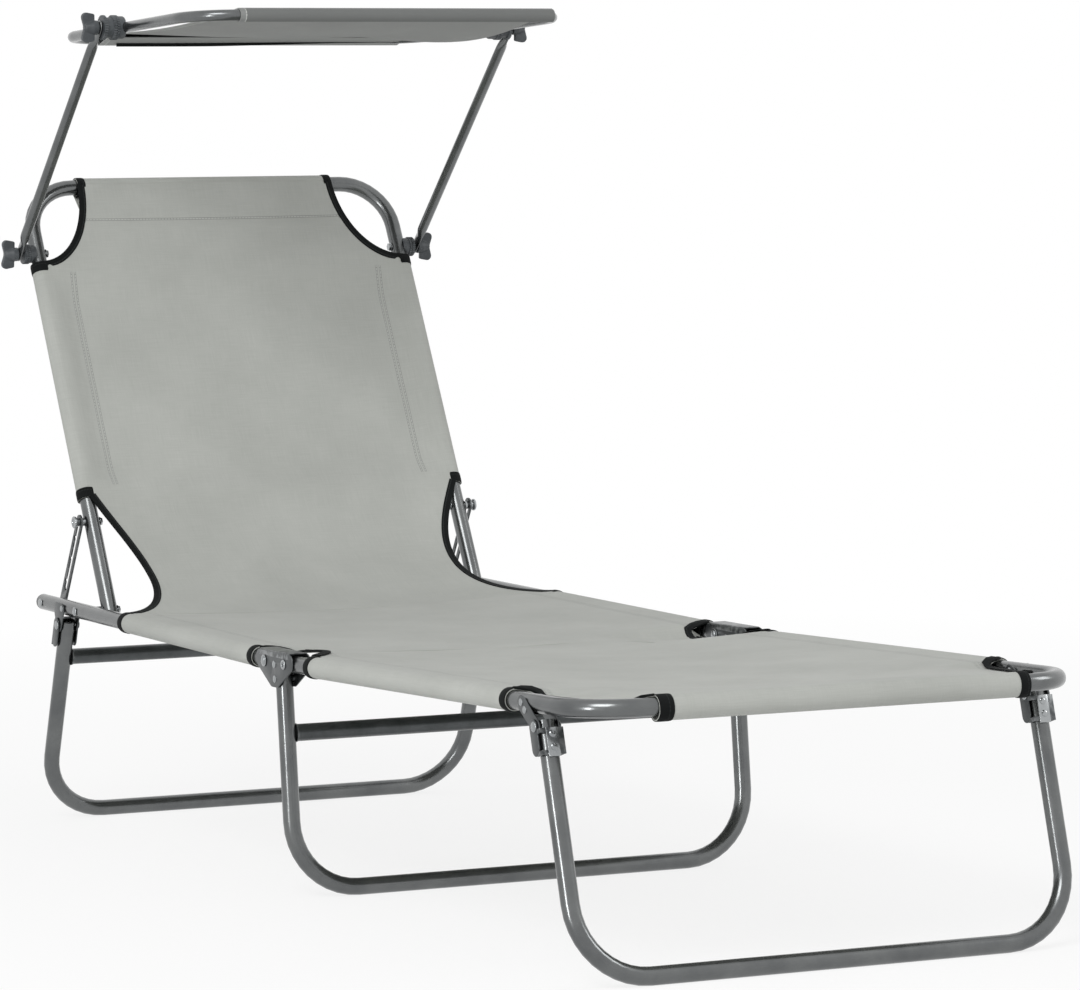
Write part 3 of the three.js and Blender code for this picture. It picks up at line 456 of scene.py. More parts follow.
for hand, side in sides.items():
    rivets = []
    for drop in (2, 18):
        at = (0, -drop * tan(radians(mid_leg_lean)), -drop)
        rivets.append(round_headed(at, side * X, plate_inner, plate_outer, 4.2, 1.5))
    joined(*rivets)
    settle(f"middle_leg_rivets_{hand}", middle_place, "middle_frame", zinc_finish)
    at = (0, middle_pivot_y, 0)
    outer, inner = plate_outer + clear, plate_inner - clear
    shank = turn_up(at, side * X, [(inner - 3.4, 2.8), (outer + 0.2, 2.8), (outer + 0.2, 6.6), (outer + 1.0, 6.6),
                                   (outer + 1.0, 4.6), *dome(outer + 1.6, 4.5, 1.4)])
    washer = turn_up(at, side * X, [(inner - 0.9, 6.2), (inner, 6.2)])
    joined(shank, washer, nut(at, side * X, inner - 2.9, 4.9, 2.1))
    settle(f"middle_screw_{hand}", middle_place, "middle_frame", zinc_finish, f"mid_head_pin_{hand}")
    at = (0, -middle_pivot_y, 0)
    stations = [(inner - 1.8, 3.6), (inner - 0.6, 5.4), (inner, 5.5), (inner, 3), (outer, 3), (outer, 5.6),
                (outer + 0.9, 5.5), (outer + 1.6, 4.6), (outer + 1.7, 3.3), (outer + 1.2, 2.5), (outer - 1.2, 2.3)]
    turn_up(at, side * X, stations)
    settle(f"middle_rivet_{hand}", middle_place, "middle_frame", zinc_finish, f"mid_foot_pin_{hand}")

# Middle leg: one steel tube bent to a U, in the same lacquer, riveted between the plates of the middle
# brackets. A straight brace is welded between its shanks.
leg_bend = 76
mid_leg_place = held(-71.644, bed_height, -mid_leg_lean)
sole = tube_radius * cos(pi / 12)


def u_tube(start, heading, shank, spread, bend):
    """A tube bent to a U: out along its heading, across to the right and back."""
    bend_tube(start, heading, [shank, (X, bend), 2 * (spread - bend), (-heading, bend), shank])


def leg_tube(top, pivot_height, lean):
    """A leg bent from one tube: down, across the ground and up again."""
    fall = (pivot_height - sole) / cos(radians(lean)) + top - leg_bend
    u_tube((-rail_spread, 0, top), -Z, fall, rail_spread, leg_bend)


def brace(drop):
    """A straight brace across a leg, with a weld bead round each end."""
    tip = rail_spread - tube_radius + 0.6
    weld = [(0, 10.6), (1.4, 10.5), (2.6, 9.8), (3.6, tube_radius)]
    stations = [(far - tip, radius) for far, radius in weld]
    stations += [(tip - far, radius) for far, radius in reversed(weld)]
    turn_up((0, 0, -drop), X, stations, 36)


leg_tube(5, bed_height, mid_leg_lean)
settle("middle_leg_tube", mid_leg_place, "middle_frame", tube_finish, "mid_leg_frame")
brace(78)
# The brace takes the darker bracket steel as painted shade, standing for a bar lit only from above.
settle("middle_leg_brace", mid_leg_place, "middle_frame", bracket_finish, "mid_crossbar")

# Rail clips: sheet steel folded under the rail and riveted through it. Their two cheeks run down to a rounded
# end that carries a leg's pivot: a short shield at the head, a slanting strap at the foot.
leg_pivot_drop = 21
clip_lobe = 8.2


def sheet_bar(low, high, soften=0.4):
    """A flat bar between two corners, with its edges broken."""
    low, high = Vector(low), Vector(high)
    bpy.ops.object.select_all(action="DESELECT")
    centre = (low + high) / 2 * mm
    bpy.ops.mesh.primitive_cube_add(size=mm, location=centre)
    set_down()
    edit("SELECT")
    bpy.ops.transform.resize(value=tuple(abs(c) for c in high - low), center_override=centre)
    close_up()
    bevel(soften)
    return bpy.context.object


def rail_clip(name, hand, where, place, roots, saddle_span, rivets, body, node):
    """Two cheeks that run from their roots beside the rail down to the leg's pivot, with a web below the rail."""
    side = sides[hand]
    lobes = [(place, -leg_pivot_drop), *((place + y, z) for y, z in roots)]
    pieces = cheeks(lobes, clip_lobe, side, plate_inner, plate_outer)
    near, far = sorted((side * (plate_inner + 0.1), side * (plate_outer - 0.1)))
    under = -tube_radius - clear
    start, end = saddle_span
    pieces.append(sheet_bar((near, place + start, under - sheet), (far, place + end, under)))
    joined(*pieces)
    settle(f"{name}_{hand}", where, body, bracket_finish, node)
    joined(*(round_headed((0, place + y, z), side * X, plate_inner, plate_outer, 3.9, 1.5) for y, z in rivets))
    settle(f"{name}_rivets_{hand}", where, body, zinc_finish)


rear_leg_y, front_leg_y = 640, -626
foot_place = held(-98.644, bed_height, -1.3)
for hand in sides:
    rail_clip("rear_rail_clip", hand, seat_place, rear_leg_y, ((6, -1.5), (-10, -1.5)), (-17, -9), ((-12, 0),),
              "seat", f"rear_clip_{hand}")
    rail_clip("front_rail_clip", hand, foot_place, front_leg_y, ((32, 0),), (12, 26), ((32, 1), (24, -6)),
              "foot_section", f"front_clip_{hand}")

# Rear and front legs: bent like the middle one. A channel is riveted round each top, and the leg turns in
# its clip on a through rivet. The channel's web meets the clip and stops the leg.
flange_inner = plate_inner - clear - sheet
flange_outer = plate_outer + clear + sheet
channel_half = 9.8
channel_reach = 31
leg_top = 5.6
rear_height, rear_lean = 246.938, 19.8
front_height, front_lean = 252.208, 16.3
rear_leg_place = held(595.586, rear_height, rear_lean)
front_leg_place = held(-724.96, front_height, -front_lean)


def leg_channel(name, hand, where, facing, body, node):
    """Two flanges beside the tube, joined by a plain web at the head end and by an open one at the foot end."""
    side = sides[hand]
    set_back = 3
    lobes = [(set_back, 0), (set_back, -channel_reach + channel_half)]
    pieces = cheeks(lobes, channel_half - 1.8, side, flange_inner, flange_outer)
    near, far = sorted((side * (flange_inner + 0.1), side * (flange_outer - 0.1)))
    web = sorted((facing * (tube_radius + clear), facing * (tube_radius + clear + sheet)))
    if facing > 0:
        pieces.append(sheet_bar((near, web[0], -channel_reach + 1), (far, web[1], -4)))
    else:
        middle = side * rail_spread
        pieces.append(sheet_bar((middle - 5, web[0], -channel_reach + 1), (far, web[1], -3)))
        pieces.append(sheet_bar((far - sheet + 0.2, web[0] + 0.1, -channel_reach + 1.1), (far, 1, -3.1)))
        for low, high in ((-8, -3), (-channel_reach + 1, -channel_reach + 6)):
            pieces.append(sheet_bar((near, web[0], low), (middle, web[1], high)))
            pieces.append(sheet_bar((near, web[0] + 0.1, low + 0.1), (near + sheet - 0.2, 0, high - 0.1)))
    joined(*pieces)
    settle(f"{name}_{hand}", where, body, bracket_finish, node)
    fixings = []
    if facing < 0:
        fixings.append(sheet_bar((middle - 6.5, web[0] - 0.9, -channel_reach - 1), (middle + 6.5, web[0], -3), 0.7))
    for fall in (9.5, 22.5):
        outer = web[1] if facing > 0 else tube_radius + clear + sheet + 0.9
        fixings.append(round_headed((side * rail_spread, 0, -fall), facing * Y, 0, outer, 3.6, 1.6, 20))
    joined(*fixings)
    settle(f"{name}_fixings_{hand}", where, body, zinc_finish)


def through_rivet(name, hand, where, y, body, node):
    """A rivet through a leg's hinge, with a round head at each side."""
    low, high = flange_inner, flange_outer
    head = dome(0, 5.5, 1.8)
    stations = [(low - clear - up, size) for up, size in reversed(head)]
    stations += [(low - clear, 3), (high + clear, 3)]
    stations += [(high + clear + up, size) for up, size in head]
    turn_up((0, y, -leg_pivot_drop), sides[hand] * X, stations, 28)
    settle(f"{name}_{hand}", where, body, zinc_finish, node)


leg_tube(leg_top, rear_height, rear_lean)
settle("rear_leg_tube", rear_leg_place, "rear_leg", tube_finish, "rear_leg_frame")
brace(43)
# The brace takes the darker bracket steel as painted shade, standing for a bar lit only from above.
settle("rear_leg_brace", rear_leg_place, "rear_leg", bracket_finish, "rear_crossbar")
leg_tube(leg_top, front_height, front_lean)
settle("front_leg_tube", front_leg_place, "front_leg", tube_finish, "front_leg_frame")
for hand in sides:
    leg_channel("rear_leg_channel", hand, rear_leg_place, 1, "rear_leg", f"rear_channel_{hand}")
    leg_channel("front_leg_channel", hand, front_leg_place, -1, "front_leg", f"front_channel_{hand}")
    through_rivet("rear_leg_rivet", hand, seat_place, rear_leg_y, "seat", f"rear_pivot_{hand}")
    through_rivet("front_leg_rivet", hand, foot_place, front_leg_y, "foot_section", f"front_pivot_{hand}")

# Foot frame: one length of the rail tube bent to a U, in the same lacquer. It turns on the middle brackets,
# and its rounded end is the foot of the bed.
foot_reach = 714
foot_bend = 64
u_tube((-rail_spread, rail_stub, 0), -Y, foot_reach - foot_bend + rail_stub, rail_spread, foot_bend)
settle("foot_frame_tube", foot_place, "foot_section", tube_finish, "foot_frame")

# Backrest frame: a tube bent to a U with wide corners, in the same lacquer. It turns inside the seat rails on
# two bolts with spacers and nuts.
back_spread = 244.8
back_length = 573.6
back_bend = 62
back_stub = 8.5
back_pivot_y = 588
prop_reach = 117
back_place = held(543.298, 267.21, 62)
rail_inner = rail_spread - tube_radius
rail_outer = rail_spread + tube_radius
u_tube((-back_spread, -back_stub, 0), Y, back_length - back_bend + back_stub, back_spread, back_bend)
settle("backrest_tube", back_place, "backrest", tube_finish, "backrest_frame")


def inner_nut(at, axis):
    """The nut and washer against the inner side of a backrest tube."""
    face = back_spread - tube_radius - clear
    washer = turn_up(at, axis, [(face - 0.8, 5.4), (face, 5.4)], 28)
    return joined(nut(at, axis, face - 3, 4.9, 2.3), washer)


for hand, side in sides.items():
    at, axis = (0, back_pivot_y, 0), side * X
    tube_outer = back_spread + tube_radius
    stations = [(tube_outer - 20, 2.9), (tube_outer + clear, 2.9), (tube_outer + clear, 5), (rail_inner - clear, 5),
                (rail_inner - clear, 2.9), (rail_outer + clear, 2.9), *dome(rail_outer + clear, 5.5, 1.8)]
    bolt = turn_up(at, axis, stations)
    joined(bolt, inner_nut(at, axis))
    settle(f"backrest_bolt_{hand}", seat_place, "seat", zinc_finish, f"backrest_pivot_{hand}")

# Props: flat zinc-plated straps with a long slot and three slanted notches. Each swings on a rivet in the
# rail, and a stud on the backrest tube slides in its slot and drops into a notch at each step.
prop_inner, prop_thickness, prop_half = 259.3, 2, 9
prop_pin_y = back_pivot_y + prop_reach
prop_length = 2 * prop_reach * sin(radians(30.6))
prop_place = held(660.287, 268.843, 121.4)
for hand, side in sides.items():
    low, high = side * prop_inner, side * (prop_inner + prop_thickness)
    strap = plate([(0, 0), (prop_length, 0)], prop_half, low, high, 0)
    through = side * (prop_inner - 2.3), side * (prop_inner + 4.7)
    slot = plate([(22, 0), (prop_length, 0)], 3.5, *through, 0)
    notches = [plate([(y, 0), (y + 3.4, -4.6)], 1.9, *through, 0) for y in (91, 60, 27)]
    bored(strap, slot, *notches)
    bevel(0.3, 2, 40)
    settle(f"prop_strap_{hand}", prop_place, f"prop_{hand}", bracket_finish, f"prop_{hand}")
    at, axis = (0, prop_pin_y, 0), side * X
    prop_outer = prop_inner + prop_thickness
    head = [(prop_inner - clear - up, radius) for up, radius in reversed(dome(0, 5.5, 1.8))]
    turn_up(at, axis, [
        *head, (prop_inner - clear, 3), (prop_outer + clear, 3), (prop_outer + clear, 5), (rail_inner - clear, 5),
        (rail_inner - clear, 3), (rail_outer + clear, 3), *dome(rail_outer + clear, 5.5, 1.8)])
    settle(f"prop_rivet_{hand}", seat_place, "seat", zinc_finish, f"prop_pin_{hand}")
    at = (0, prop_reach, 0)
    stud = turn_up(at, axis, [
        (tube_outer - 20, 2.9), (tube_outer + clear, 2.9), (tube_outer + clear, 5), (prop_inner - clear, 5),
        (prop_inner - clear, 3.1), (prop_outer + clear, 3.1), (prop_outer + clear, 5), (264.4, 5), (266.2, 7.1),
        (268.0, 7.4), (268.6, 6.9), (268.6, 4.2), (267.8, 3.8)])
    joined(stud, inner_nut(at, axis))
    settle(f"prop_slide_stud_{hand}", back_place, "backrest", zinc_finish, f"prop_stud_{hand}")

# Canopy arms: slim steel tubes in the same lacquer, pressed flat at both ends to a rounded tongue. A clamp
# bolt passes through each tongue.
arm_spread, arm_length, slim_radius = 269.4, 396, 6.5
tongue_half = 2
arms_place = held(769.584, 692.791, 136.6)
canopy_place = held(481.86, 964.877, -2.2)


def pressed_arm(side):
    """A round bar of tube drawn out from one flat tip to the other."""
    tip = [(-9.3, 1.6, 2.0), (-8.8, 1.9, 4.0), (-7.1, 2, 6.4), (-4.2, 2, 8.6), (0, 2, 9.5), (12, 2, 9.5),
           (17, 2.1, 9.3), (21, 2.9, 8.7), (26, 4.6, 7.7), (31, 6.0, 6.9), (36, 6.5, 6.5)]
    stations = tip + [(arm_length - y, x, z) for y, x, z in reversed(tip)]
    centre = Vector((side * arm_spread, 0, 0))
    start, wide, deep = stations[0]
    start_ring(wide, (centre + Y * start) * mm, (-pi / 2, 0, 0), 32, "NGON")
    for (here, x, z), (there, new_x, new_z) in zip(stations, stations[1:]):
        grow(Y * (there - here) * mm)
        bpy.ops.transform.resize(value=(new_x / x, 1, new_z / z), center_override=(centre + Y * there) * mm)
    close_up()


for hand, side in sides.items():
    pressed_arm(side)
    settle(f"canopy_arm_tube_{hand}", arms_place, "canopy_arms", tube_finish, f"canopy_arm_{hand}")

# Canopy frame: the arms' slim tube bent to a closed loop with four round corners, in the same lacquer. The
# upper clamps hold it at the middle of its sides.
canopy_spread, canopy_front, canopy_rear, canopy_bend = 238.1, -228, 219, 60
half_run = canopy_spread - canopy_bend
depth_run = canopy_rear - canopy_front - 2 * canopy_bend
bend_tube((0, canopy_front, 0), X, [
    half_run, (Y, canopy_bend), depth_run, (-X, canopy_bend), 2 * half_run, (-Y, canopy_bend), depth_run,
    (X, canopy_bend), half_run], slim_radius, 1, 28)
settle("canopy_tube", canopy_place, "canopy", tube_finish, "canopy_frame")

# Clamps at both ends of the arms: a moulded saddle on the tube, a toothed disc on the arm, a bolt through
# both and a wing knob outside that presses the teeth together.
disc_teeth, tongue_outer = 30, arm_spread + tongue_half
clamp_finish = moulded_plastic("clamp_plastic", "clamp_plastic", shade(52, 56, 59), shade(72, 76, 79), 0.38)


def toothed_disc(side, size, low, high):
    """A disc square to X whose rim is cut into teeth."""
    start_ring(size, (side * low * mm, 0, 0), (0, pi / 2, 0), 2 * disc_teeth, "NGON")
    grow(side * X * (high - low) * mm)
    pick(lambda place: round(atan2(place.z, place.y) / (pi / disc_teeth)) % 2 == 0)
    bpy.ops.transform.resize(value=(1, 0.9, 0.9), center_override=(0, 0, 0))
    close_up()
    bevel(0.25, 1, 50)
    return bpy.context.object


def moved(y):
    """Shifts the piece in hand along its own part's frame."""
    bpy.context.object.location = (0, y * mm, 0)
    set_down()


def saddle(side, spread, radius, size):
    flange = spread + radius + 3.4
    barrel = turn_up((0, 0, 0), side * X, [
        (spread + radius - 5, size - 2.1), (spread + radius - 3.6, size - 1.4), (flange - 0.6, size - 1.4),
        (flange + clear, size - 2)], 40)
    hollow = turn_up((side * spread, 0, 0), Y, [(-16, radius + clear), (16, radius + clear)], 40, soften=0)
    bored(barrel, hollow)
    return joined(barrel, toothed_disc(side, size, flange, flange + 3))


def arm_disc(side, spread, radius, size):
    start, end = spread + radius + 6.7, arm_spread - tongue_half - clear
    rims = [toothed_disc(side, size, start, min(end, start + 4))]
    if end - start > 8:
        rims.append(toothed_disc(side, size, end - 4, end))
        rims.append(turn_up((0, 0, 0), side * X, [
            (start + 3.5, size - 2.3), (start + 4.8, size - 2.8), (end - 4.8, size - 2.8), (end - 3.5, size - 2.3)],
            36))
    return joined(*rims)


def clamp_bolt(side, spread, radius):
    face = spread - radius - clear
    shank = turn_up((0, 0, 0), side * X, [
        (face - 0.8, 5.6), (face, 5.6), (face, 2.9), (tongue_outer + 8.4, 2.9), (tongue_outer + 9, 2.5)])
    return joined(shank, nut((0, 0, 0), side * X, face - 3.4, 5, 2.6))


def wing_knob(side, turn):
    """A hub with two rounded wings, welded into one moulded form and smoothed."""
    start = tongue_outer + clear
    hub = turn_up((0, 0, 0), side * X, [
        (start, 8.5), (start + 6.5, 8.5), (start + 10, 7.2), (start + 15, 5.6), (start + 17, 4.2)], 40)
    blades = []
    for way in (1, -1):
        rounds = [(size, (side * (start + out), way * far, 0)) for far, out, size in (
            (4, 5.4, 1.0), (3, 13.5, 4.2), (14.2, 6.6, 2.2), (12.2, 14.6, 5.6))]
        hull_of(rounds, 5.6, (0, 0, 0), 24)
        close_up()
        bevel(1.4, 3, 50)
        blades.append(bpy.context.object)
    knob = joined(hub, *blades)
    modify("REMESH", mode="VOXEL", voxel_size=0.5 * mm)
    modify("SMOOTH", factor=0.6, iterations=6)
    knob.rotation_euler = (radians(turn), 0, 0)
    set_down()
    return knob


clamp_rows = [
    ("lower", 482, 0, back_place, "backrest", back_spread, tube_radius, 12.5, -40),
    ("upper", 0, arm_length, canopy_place, "canopy", canopy_spread, slim_radius, 15, -45),
]
for level, on_tube, on_arm, carrier_place, carrier, spread, radius, size, knob_turn in clamp_rows:
    for hand, side in sides.items():
        saddle(side, spread, radius, size)
        moved(on_tube)
        settle(f"{level}_clamp_saddle_{hand}", carrier_place, carrier, clamp_finish, f"{level}_saddle_{hand}")
        clamp_bolt(side, spread, radius)
        moved(on_tube)
        settle(f"{level}_clamp_bolt_{hand}", carrier_place, carrier, zinc_finish, f"{level}_bolt_{hand}")
        arm_disc(side, spread, radius, size)
        moved(on_arm)
        settle(f"{level}_clamp_disc_{hand}", arms_place, "canopy_arms", clamp_finish, f"{level}_disc_{hand}")
        wing_knob(side, knob_turn)
        moved(on_arm)
        settle(f"{level}_wing_knob_{hand}", arms_place, f"{level}_knob_{hand}", clamp_finish,
               f"{level}_knob_{hand}", smooth=60)

# Foot cloth: woven polyester, sewn into sleeves that the side rails and the foot bar pass through. Its cut
# corners and its open edges are bound with black tape, which also rings the tube at every sleeve end.
sleeve_radius = 11.6
cloth_top = 11.3
cloth_thick = 1.2
seam_level = cloth_top - cloth_thick


def chart_of(finish):
    """A piece's own map, whole and as its two measures in metres."""
    flat = finish.add("UVMap", {"uv_map": "UVMap"})
    parts = finish.nodes.new("ShaderNodeSeparateXYZ")
    finish.join(parts.inputs[0], flat)
    return flat, Wire(finish, parts.outputs[0]), Wire(finish, parts.outputs[1])


def woven_cloth(name, slot, dark, light, side_seam=None, cross_seams=(), seam_run=(-9, 9), hem=None):
    """Plain-woven cloth on its own map, with rows of stitching at its seams. The groove along each seam is darkened
    as painted shade, and the stitches take a pale thread colour that also paints their highlight. With a hem, the
    front sleeve is darkened as painted shade, the rear sleeve paled as painted light, and the left hem strip paled.
    """
    finish = Finish(name, slot)
    flat, across, along = chart_of(finish)
    thread, stitch, gap, seam_half = 0.0011, 0.0042, 0.0009, 0.0025
    warp = finish.add("Math", {"operation": "SINE"}, {0: across * (2 * pi / thread)})
    weft = finish.add("Math", {"operation": "SINE"}, {0: along * (2 * pi / thread)})
    weave = warp * weft
    slub_along = finish.noise(60, 3, 0.6, finish.stretched((14, 0.5, 1), flat))
    slub_across = finish.noise(60, 3, 0.6, finish.stretched((0.5, 14, 1), flat))
    cloud = finish.noise(7, 4, 0.55, flat)
    fuzz = finish.noise(1500, 2, 0.6, flat)
    tone = cloud * 0.45 + slub_along * 0.22 + slub_across * 0.22 + fuzz * 0.11
    colour = finish.mix(finish.ramp(tone, 0.36, 0.64), dark, light)
    height = weave * 0.35 + slub_along * 0.5 + slub_across * 0.5
    stitch_thread_and_highlight, seam_groove_painted_shade = None, 0.0
    if side_seam:
        reach = abs(across)
        within = along.above(seam_run[0]) * along.below(seam_run[1])
        # Painted shade: the groove beside each row of side-seam stitches is darkened.
        seam_groove_painted_shade = abs(abs(reach - side_seam) - seam_half).below(0.0012) * within
        for offset in (seam_half, -seam_half):
            row = abs(reach - (side_seam + offset)).below(0.0004) * (along % stitch).above(gap) * within
            stitch_thread_and_highlight = row if stitch_thread_and_highlight is None else stitch_thread_and_highlight + row
    for seam in cross_seams:
        # Painted shade: the groove along each cross seam is darkened.
        seam_groove_painted_shade = seam_groove_painted_shade + abs(along - seam).below(0.0013)
        row = abs(along - seam).below(0.0005) * (across % stitch).above(gap)
        stitch_thread_and_highlight = row if stitch_thread_and_highlight is None else stitch_thread_and_highlight + row
    if hem:
        front, rear, left, front_painted_shade, pale_hem_and_painted_light = hem
        # Painted shade: the front sleeve is darkened towards the darker colour.
        colour = finish.mix(along.below(front - 0.002) * 0.8, colour, front_painted_shade)
        # Painted light: the rear sleeve is paled as if lit from below, and the strip along the left hem is paled too.
        colour = finish.mix((along.above(rear + 0.002) + across.below(left) * 0.6) * 0.7, colour, pale_hem_and_painted_light)
        stitch_thread_and_highlight = abs(across - left).below(0.0006) * (along % stitch).above(gap)
    if stitch_thread_and_highlight is not None:
        if side_seam:
            # The darkened seam grooves are painted shade.
            colour = finish.mix(seam_groove_painted_shade * 0.5, colour, shade(104, 106, 103))
        # The stitches take a pale thread colour, which also paints the highlight on the thread.
        colour = finish.mix(stitch_thread_and_highlight * 0.75, colour, shade(204, 206, 202))
        height = height + stitch_thread_and_highlight * 2
    finish.set("Base Color", colour)
    finish.set("Roughness", 0.82 + finish.ramp(fuzz, 0.3, 0.7) * 0.1)
    finish.set("Sheen Weight", 0.12)
    finish.set("Sheen Roughness", 0.5)
    finish.bump(height, 0.00012, 0.8)
    return finish


def drape(columns, rows, place, outward=None):
    """A grid whose points are laid one by one: place gives a point and its spot on the flat cloth.
    Outward says which way the good side faces: a direction, or a point on the wrapped tube's axis."""
    bpy.ops.object.select_all(action="DESELECT")
    bpy.ops.mesh.primitive_grid_add(x_subdivisions=columns, y_subdivisions=rows, size=1)
    piece = bpy.context.object
    laid = {}
    for point in piece.data.vertices:
        across, along = round((point.co.x + 0.5) * columns), round((point.co.y + 0.5) * rows)
        spot, flat = place(across / columns, along / rows)
        point.co = Vector(spot) * mm
        laid[point.index] = flat
    if outward:
        total = sum(face.normal.dot(outward(face.center / mm)) * face.area for face in piece.data.polygons)
        if total < 0:
            edit("SELECT")
            bpy.ops.mesh.flip_normals()
            bpy.ops.object.mode_set(mode="OBJECT")
    chart = piece.data.uv_layers[0]
    chart.name = "UVMap"
    for loop in piece.data.loops:
        u, v = laid[loop.vertex_index]
        chart.data[loop.index].uv = (u * mm, v * mm)
    return piece


def smoothly(value, start, end):
    """Nought up to start, one from end on, and a soft rise between them."""
    share = min(max((value - start) / (end - start), 0), 1)
    return share * share * (3 - 2 * share)


def between(low, high, share):
    return low + (high - low) * share


def hang(share, sag):
    """How far a slack sheet hangs below the straight line between its two edges."""
    return 4 * sag * share * (1 - share)


def wrap_profile(share, seam, depth, radius=sleeve_radius, wrap=1.08, lift=0.3, drop=0.0):
    """A sleeve's section: over the tube's outer side and, on its last quarter, back in to the seam below.
    Gives the way out from the tube's middle, the height and the length of cloth used."""
    arc = 0.75
    turned = min(share / arc, 1)
    turn = pi * wrap * turned
    out, used = radius * sin(turn), radius * turn
    high = radius * cos(turn) - lift * (1 - turned) - drop * (1 - cos(turn)) / 2
    if share > arc:
        part = (share - arc) / (1 - arc)
        out, high, used = between(out, -depth, part), between(high, seam, part), used + depth * part
    return out, high, used


def bar_sleeve(left, right, y, way, columns, **profile):
    """The wrap round a cross bar."""
    def place(along, share):
        x = between(left, right, along)
        out, high, used = wrap_profile(share, **profile)
        return (x, y + way * out, high), (x, y + way * used)
    return drape(columns, 24, place, lambda at: Vector((0, at.y - y, at.z)))


notch_mark = 23.5


def widening(travel, sleeve_start, side):
    """Half the cloth's width beside the middle bracket, where its edge is cut back: further at the right."""
    return between(254 if side < 0 else 249, rail_spread, smoothly(travel, 22, sleeve_start))


def notch_lift(across, travel, sleeve_start, left_rise):
    """The free edge beside the bracket: drawn up or tucked in at the left, slack at the right."""
    free = 1 - smoothly(travel, 10, sleeve_start)
    drawn = smoothly(travel, -middle_pivot_y, 12) * (1 - smoothly(travel, 20, sleeve_start))
    left, right = smoothly(0.16 - across, 0, 0.16), smoothly(across - 0.68, 0, 0.32)
    return drawn * left_rise * left - free * 15 * right


foot_sleeve = (54, 557)
seat_sleeve = (37, 442)
foot_bar_ends = {-1: 205, 1: 214.5}
foot_bar_sag = 2.5
corner_start = 567


def foot_point(across, travel):
    side = 1 if across > 0.5 else -1
    half = widening(travel, foot_sleeve[0], side)
    tuck = 0
    if travel > foot_sleeve[1]:
        share = min(max((travel - corner_start) / (foot_reach - corner_start), 0), 1)
        corner = 261 - (261 - foot_bar_ends[side]) * (1 - sqrt(1 - share * share))
        half = between(half, corner, smoothly(travel, foot_sleeve[1], corner_start))
        tuck = 8.5 * smoothly(travel, foot_sleeve[1], 575) * (1 - smoothly(travel, foot_reach - 16, foot_reach))
    sag = 9 * smoothly(foot_reach - travel, 0, foot_reach - foot_sleeve[1])
    ripple = 0.7 * noise.noise(Vector((across * 5, travel / 38, 3))) * sag / 9
    edge = smoothly(abs(2 * across - 1), 0.72, 1)
    lift = notch_lift(across, travel, foot_sleeve[0], 1.5) - tuck * edge
    x = half * (2 * across - 1)
    return Vector((x, -travel, cloth_top - hang(across, sag) + ripple + lift)), (x, -travel)


def spaced(start, end, step):
    """Stations from start to end, evenly spread and no further apart than step."""
    count = ceil((end - start) / step)
    return [between(start, end, i / count) for i in range(count + 1)]


def along_stations(*marks, step=8.0):
    stations = [marks[0]]
    for start, end in zip(marks, marks[1:]):
        stations += spaced(start, end, step)[1:]
    return stations


def sheet_of(point, stations, columns=56):
    rows = len(stations) - 1
    return drape(columns, rows, lambda across, along: point(across, stations[round(along * rows)]), lambda at: Z)


def bound_edge(path, width=8.4):
    """Black tape folded over a cloth edge. The path lists each edge point with its inward and up directions."""
    rows = len(path) - 1
    lengths = [0.0]
    for (a, _, _), (b, _, _) in zip(path, path[1:]):
        lengths.append(lengths[-1] + (b - a).length)
    section = [(width, -0.1), (width - 0.6, 0.75), (width / 2, 0.9), (0.8, 0.95), (-0.5, 0.5), (-0.9, -0.6),
               (-0.5, -1.7), (0.8, -2.15), (width / 2, -2.1), (width - 0.6, -1.95), (width, -1.1)]

    def place(share, along):
        i = round(along * rows)
        edge, inward, up = path[i]
        far, high = section[round(share * 10)]
        return edge + inward * far + up * high, (share * 2 * width, lengths[i])
    return drape(10, rows, place)


def edge_path(point, across, stations):
    """The edge of a sheet as points with their inward and upward directions."""
    path = []
    step = 0.02 if across < 0.5 else -0.02
    for i, travel in enumerate(stations):
        here = Vector(point(across, travel)[0])
        sideways = Vector(point(across + step, travel)[0]) - here
        onward = Vector(point(across, travel + 0.5)[0]) - Vector(point(across, travel - 0.5)[0])
        before = Vector(point(across, stations[max(i - 1, 0)])[0])
        after = Vector(point(across, stations[min(i + 1, len(stations) - 1)])[0])
        run = (after - before).normalized()
        inward = (sideways - run * sideways.dot(run)).normalized()
        up = inward.cross(run)
        if up.dot(sideways.cross(onward)) * step < 0:
            up = -up
        path.append((here, inward, up.normalized()))
    return path


def tape_ring(at, axis, width, hang_low=0.0):
    """The tape's ring round a tube at a sleeve's end, rolled in at both rims."""
    radius = sleeve_radius + 0.5
    profile = [(-0.5, -0.7), (-0.5, 0), (-0.3, 0.35), (0.3, 0.35), (0.5, 0), (0.5, -0.7)]
    other = axis.cross(Z) if abs(axis.z) < 0.5 else axis.cross(X)
    other.normalize()

    def place(share, along):
        turn = 2 * pi * along
        far, lift = profile[round(share * 5)]
        out = other * sin(turn) + Z * cos(turn)
        drop = Z * hang_low * (1 - cos(turn)) / 2
        spot = Vector(at) + axis * far * width + out * (radius + lift) - drop
        return spot, (far * width, radius * turn)
    return drape(5, 36, place)


cloth_dark, cloth_light = shade(160, 162, 157), shade(178, 180, 175)
bed_cloth = woven_cloth("bed_cloth", "sling_cloth", cloth_dark, cloth_light, side_seam=0.2485)


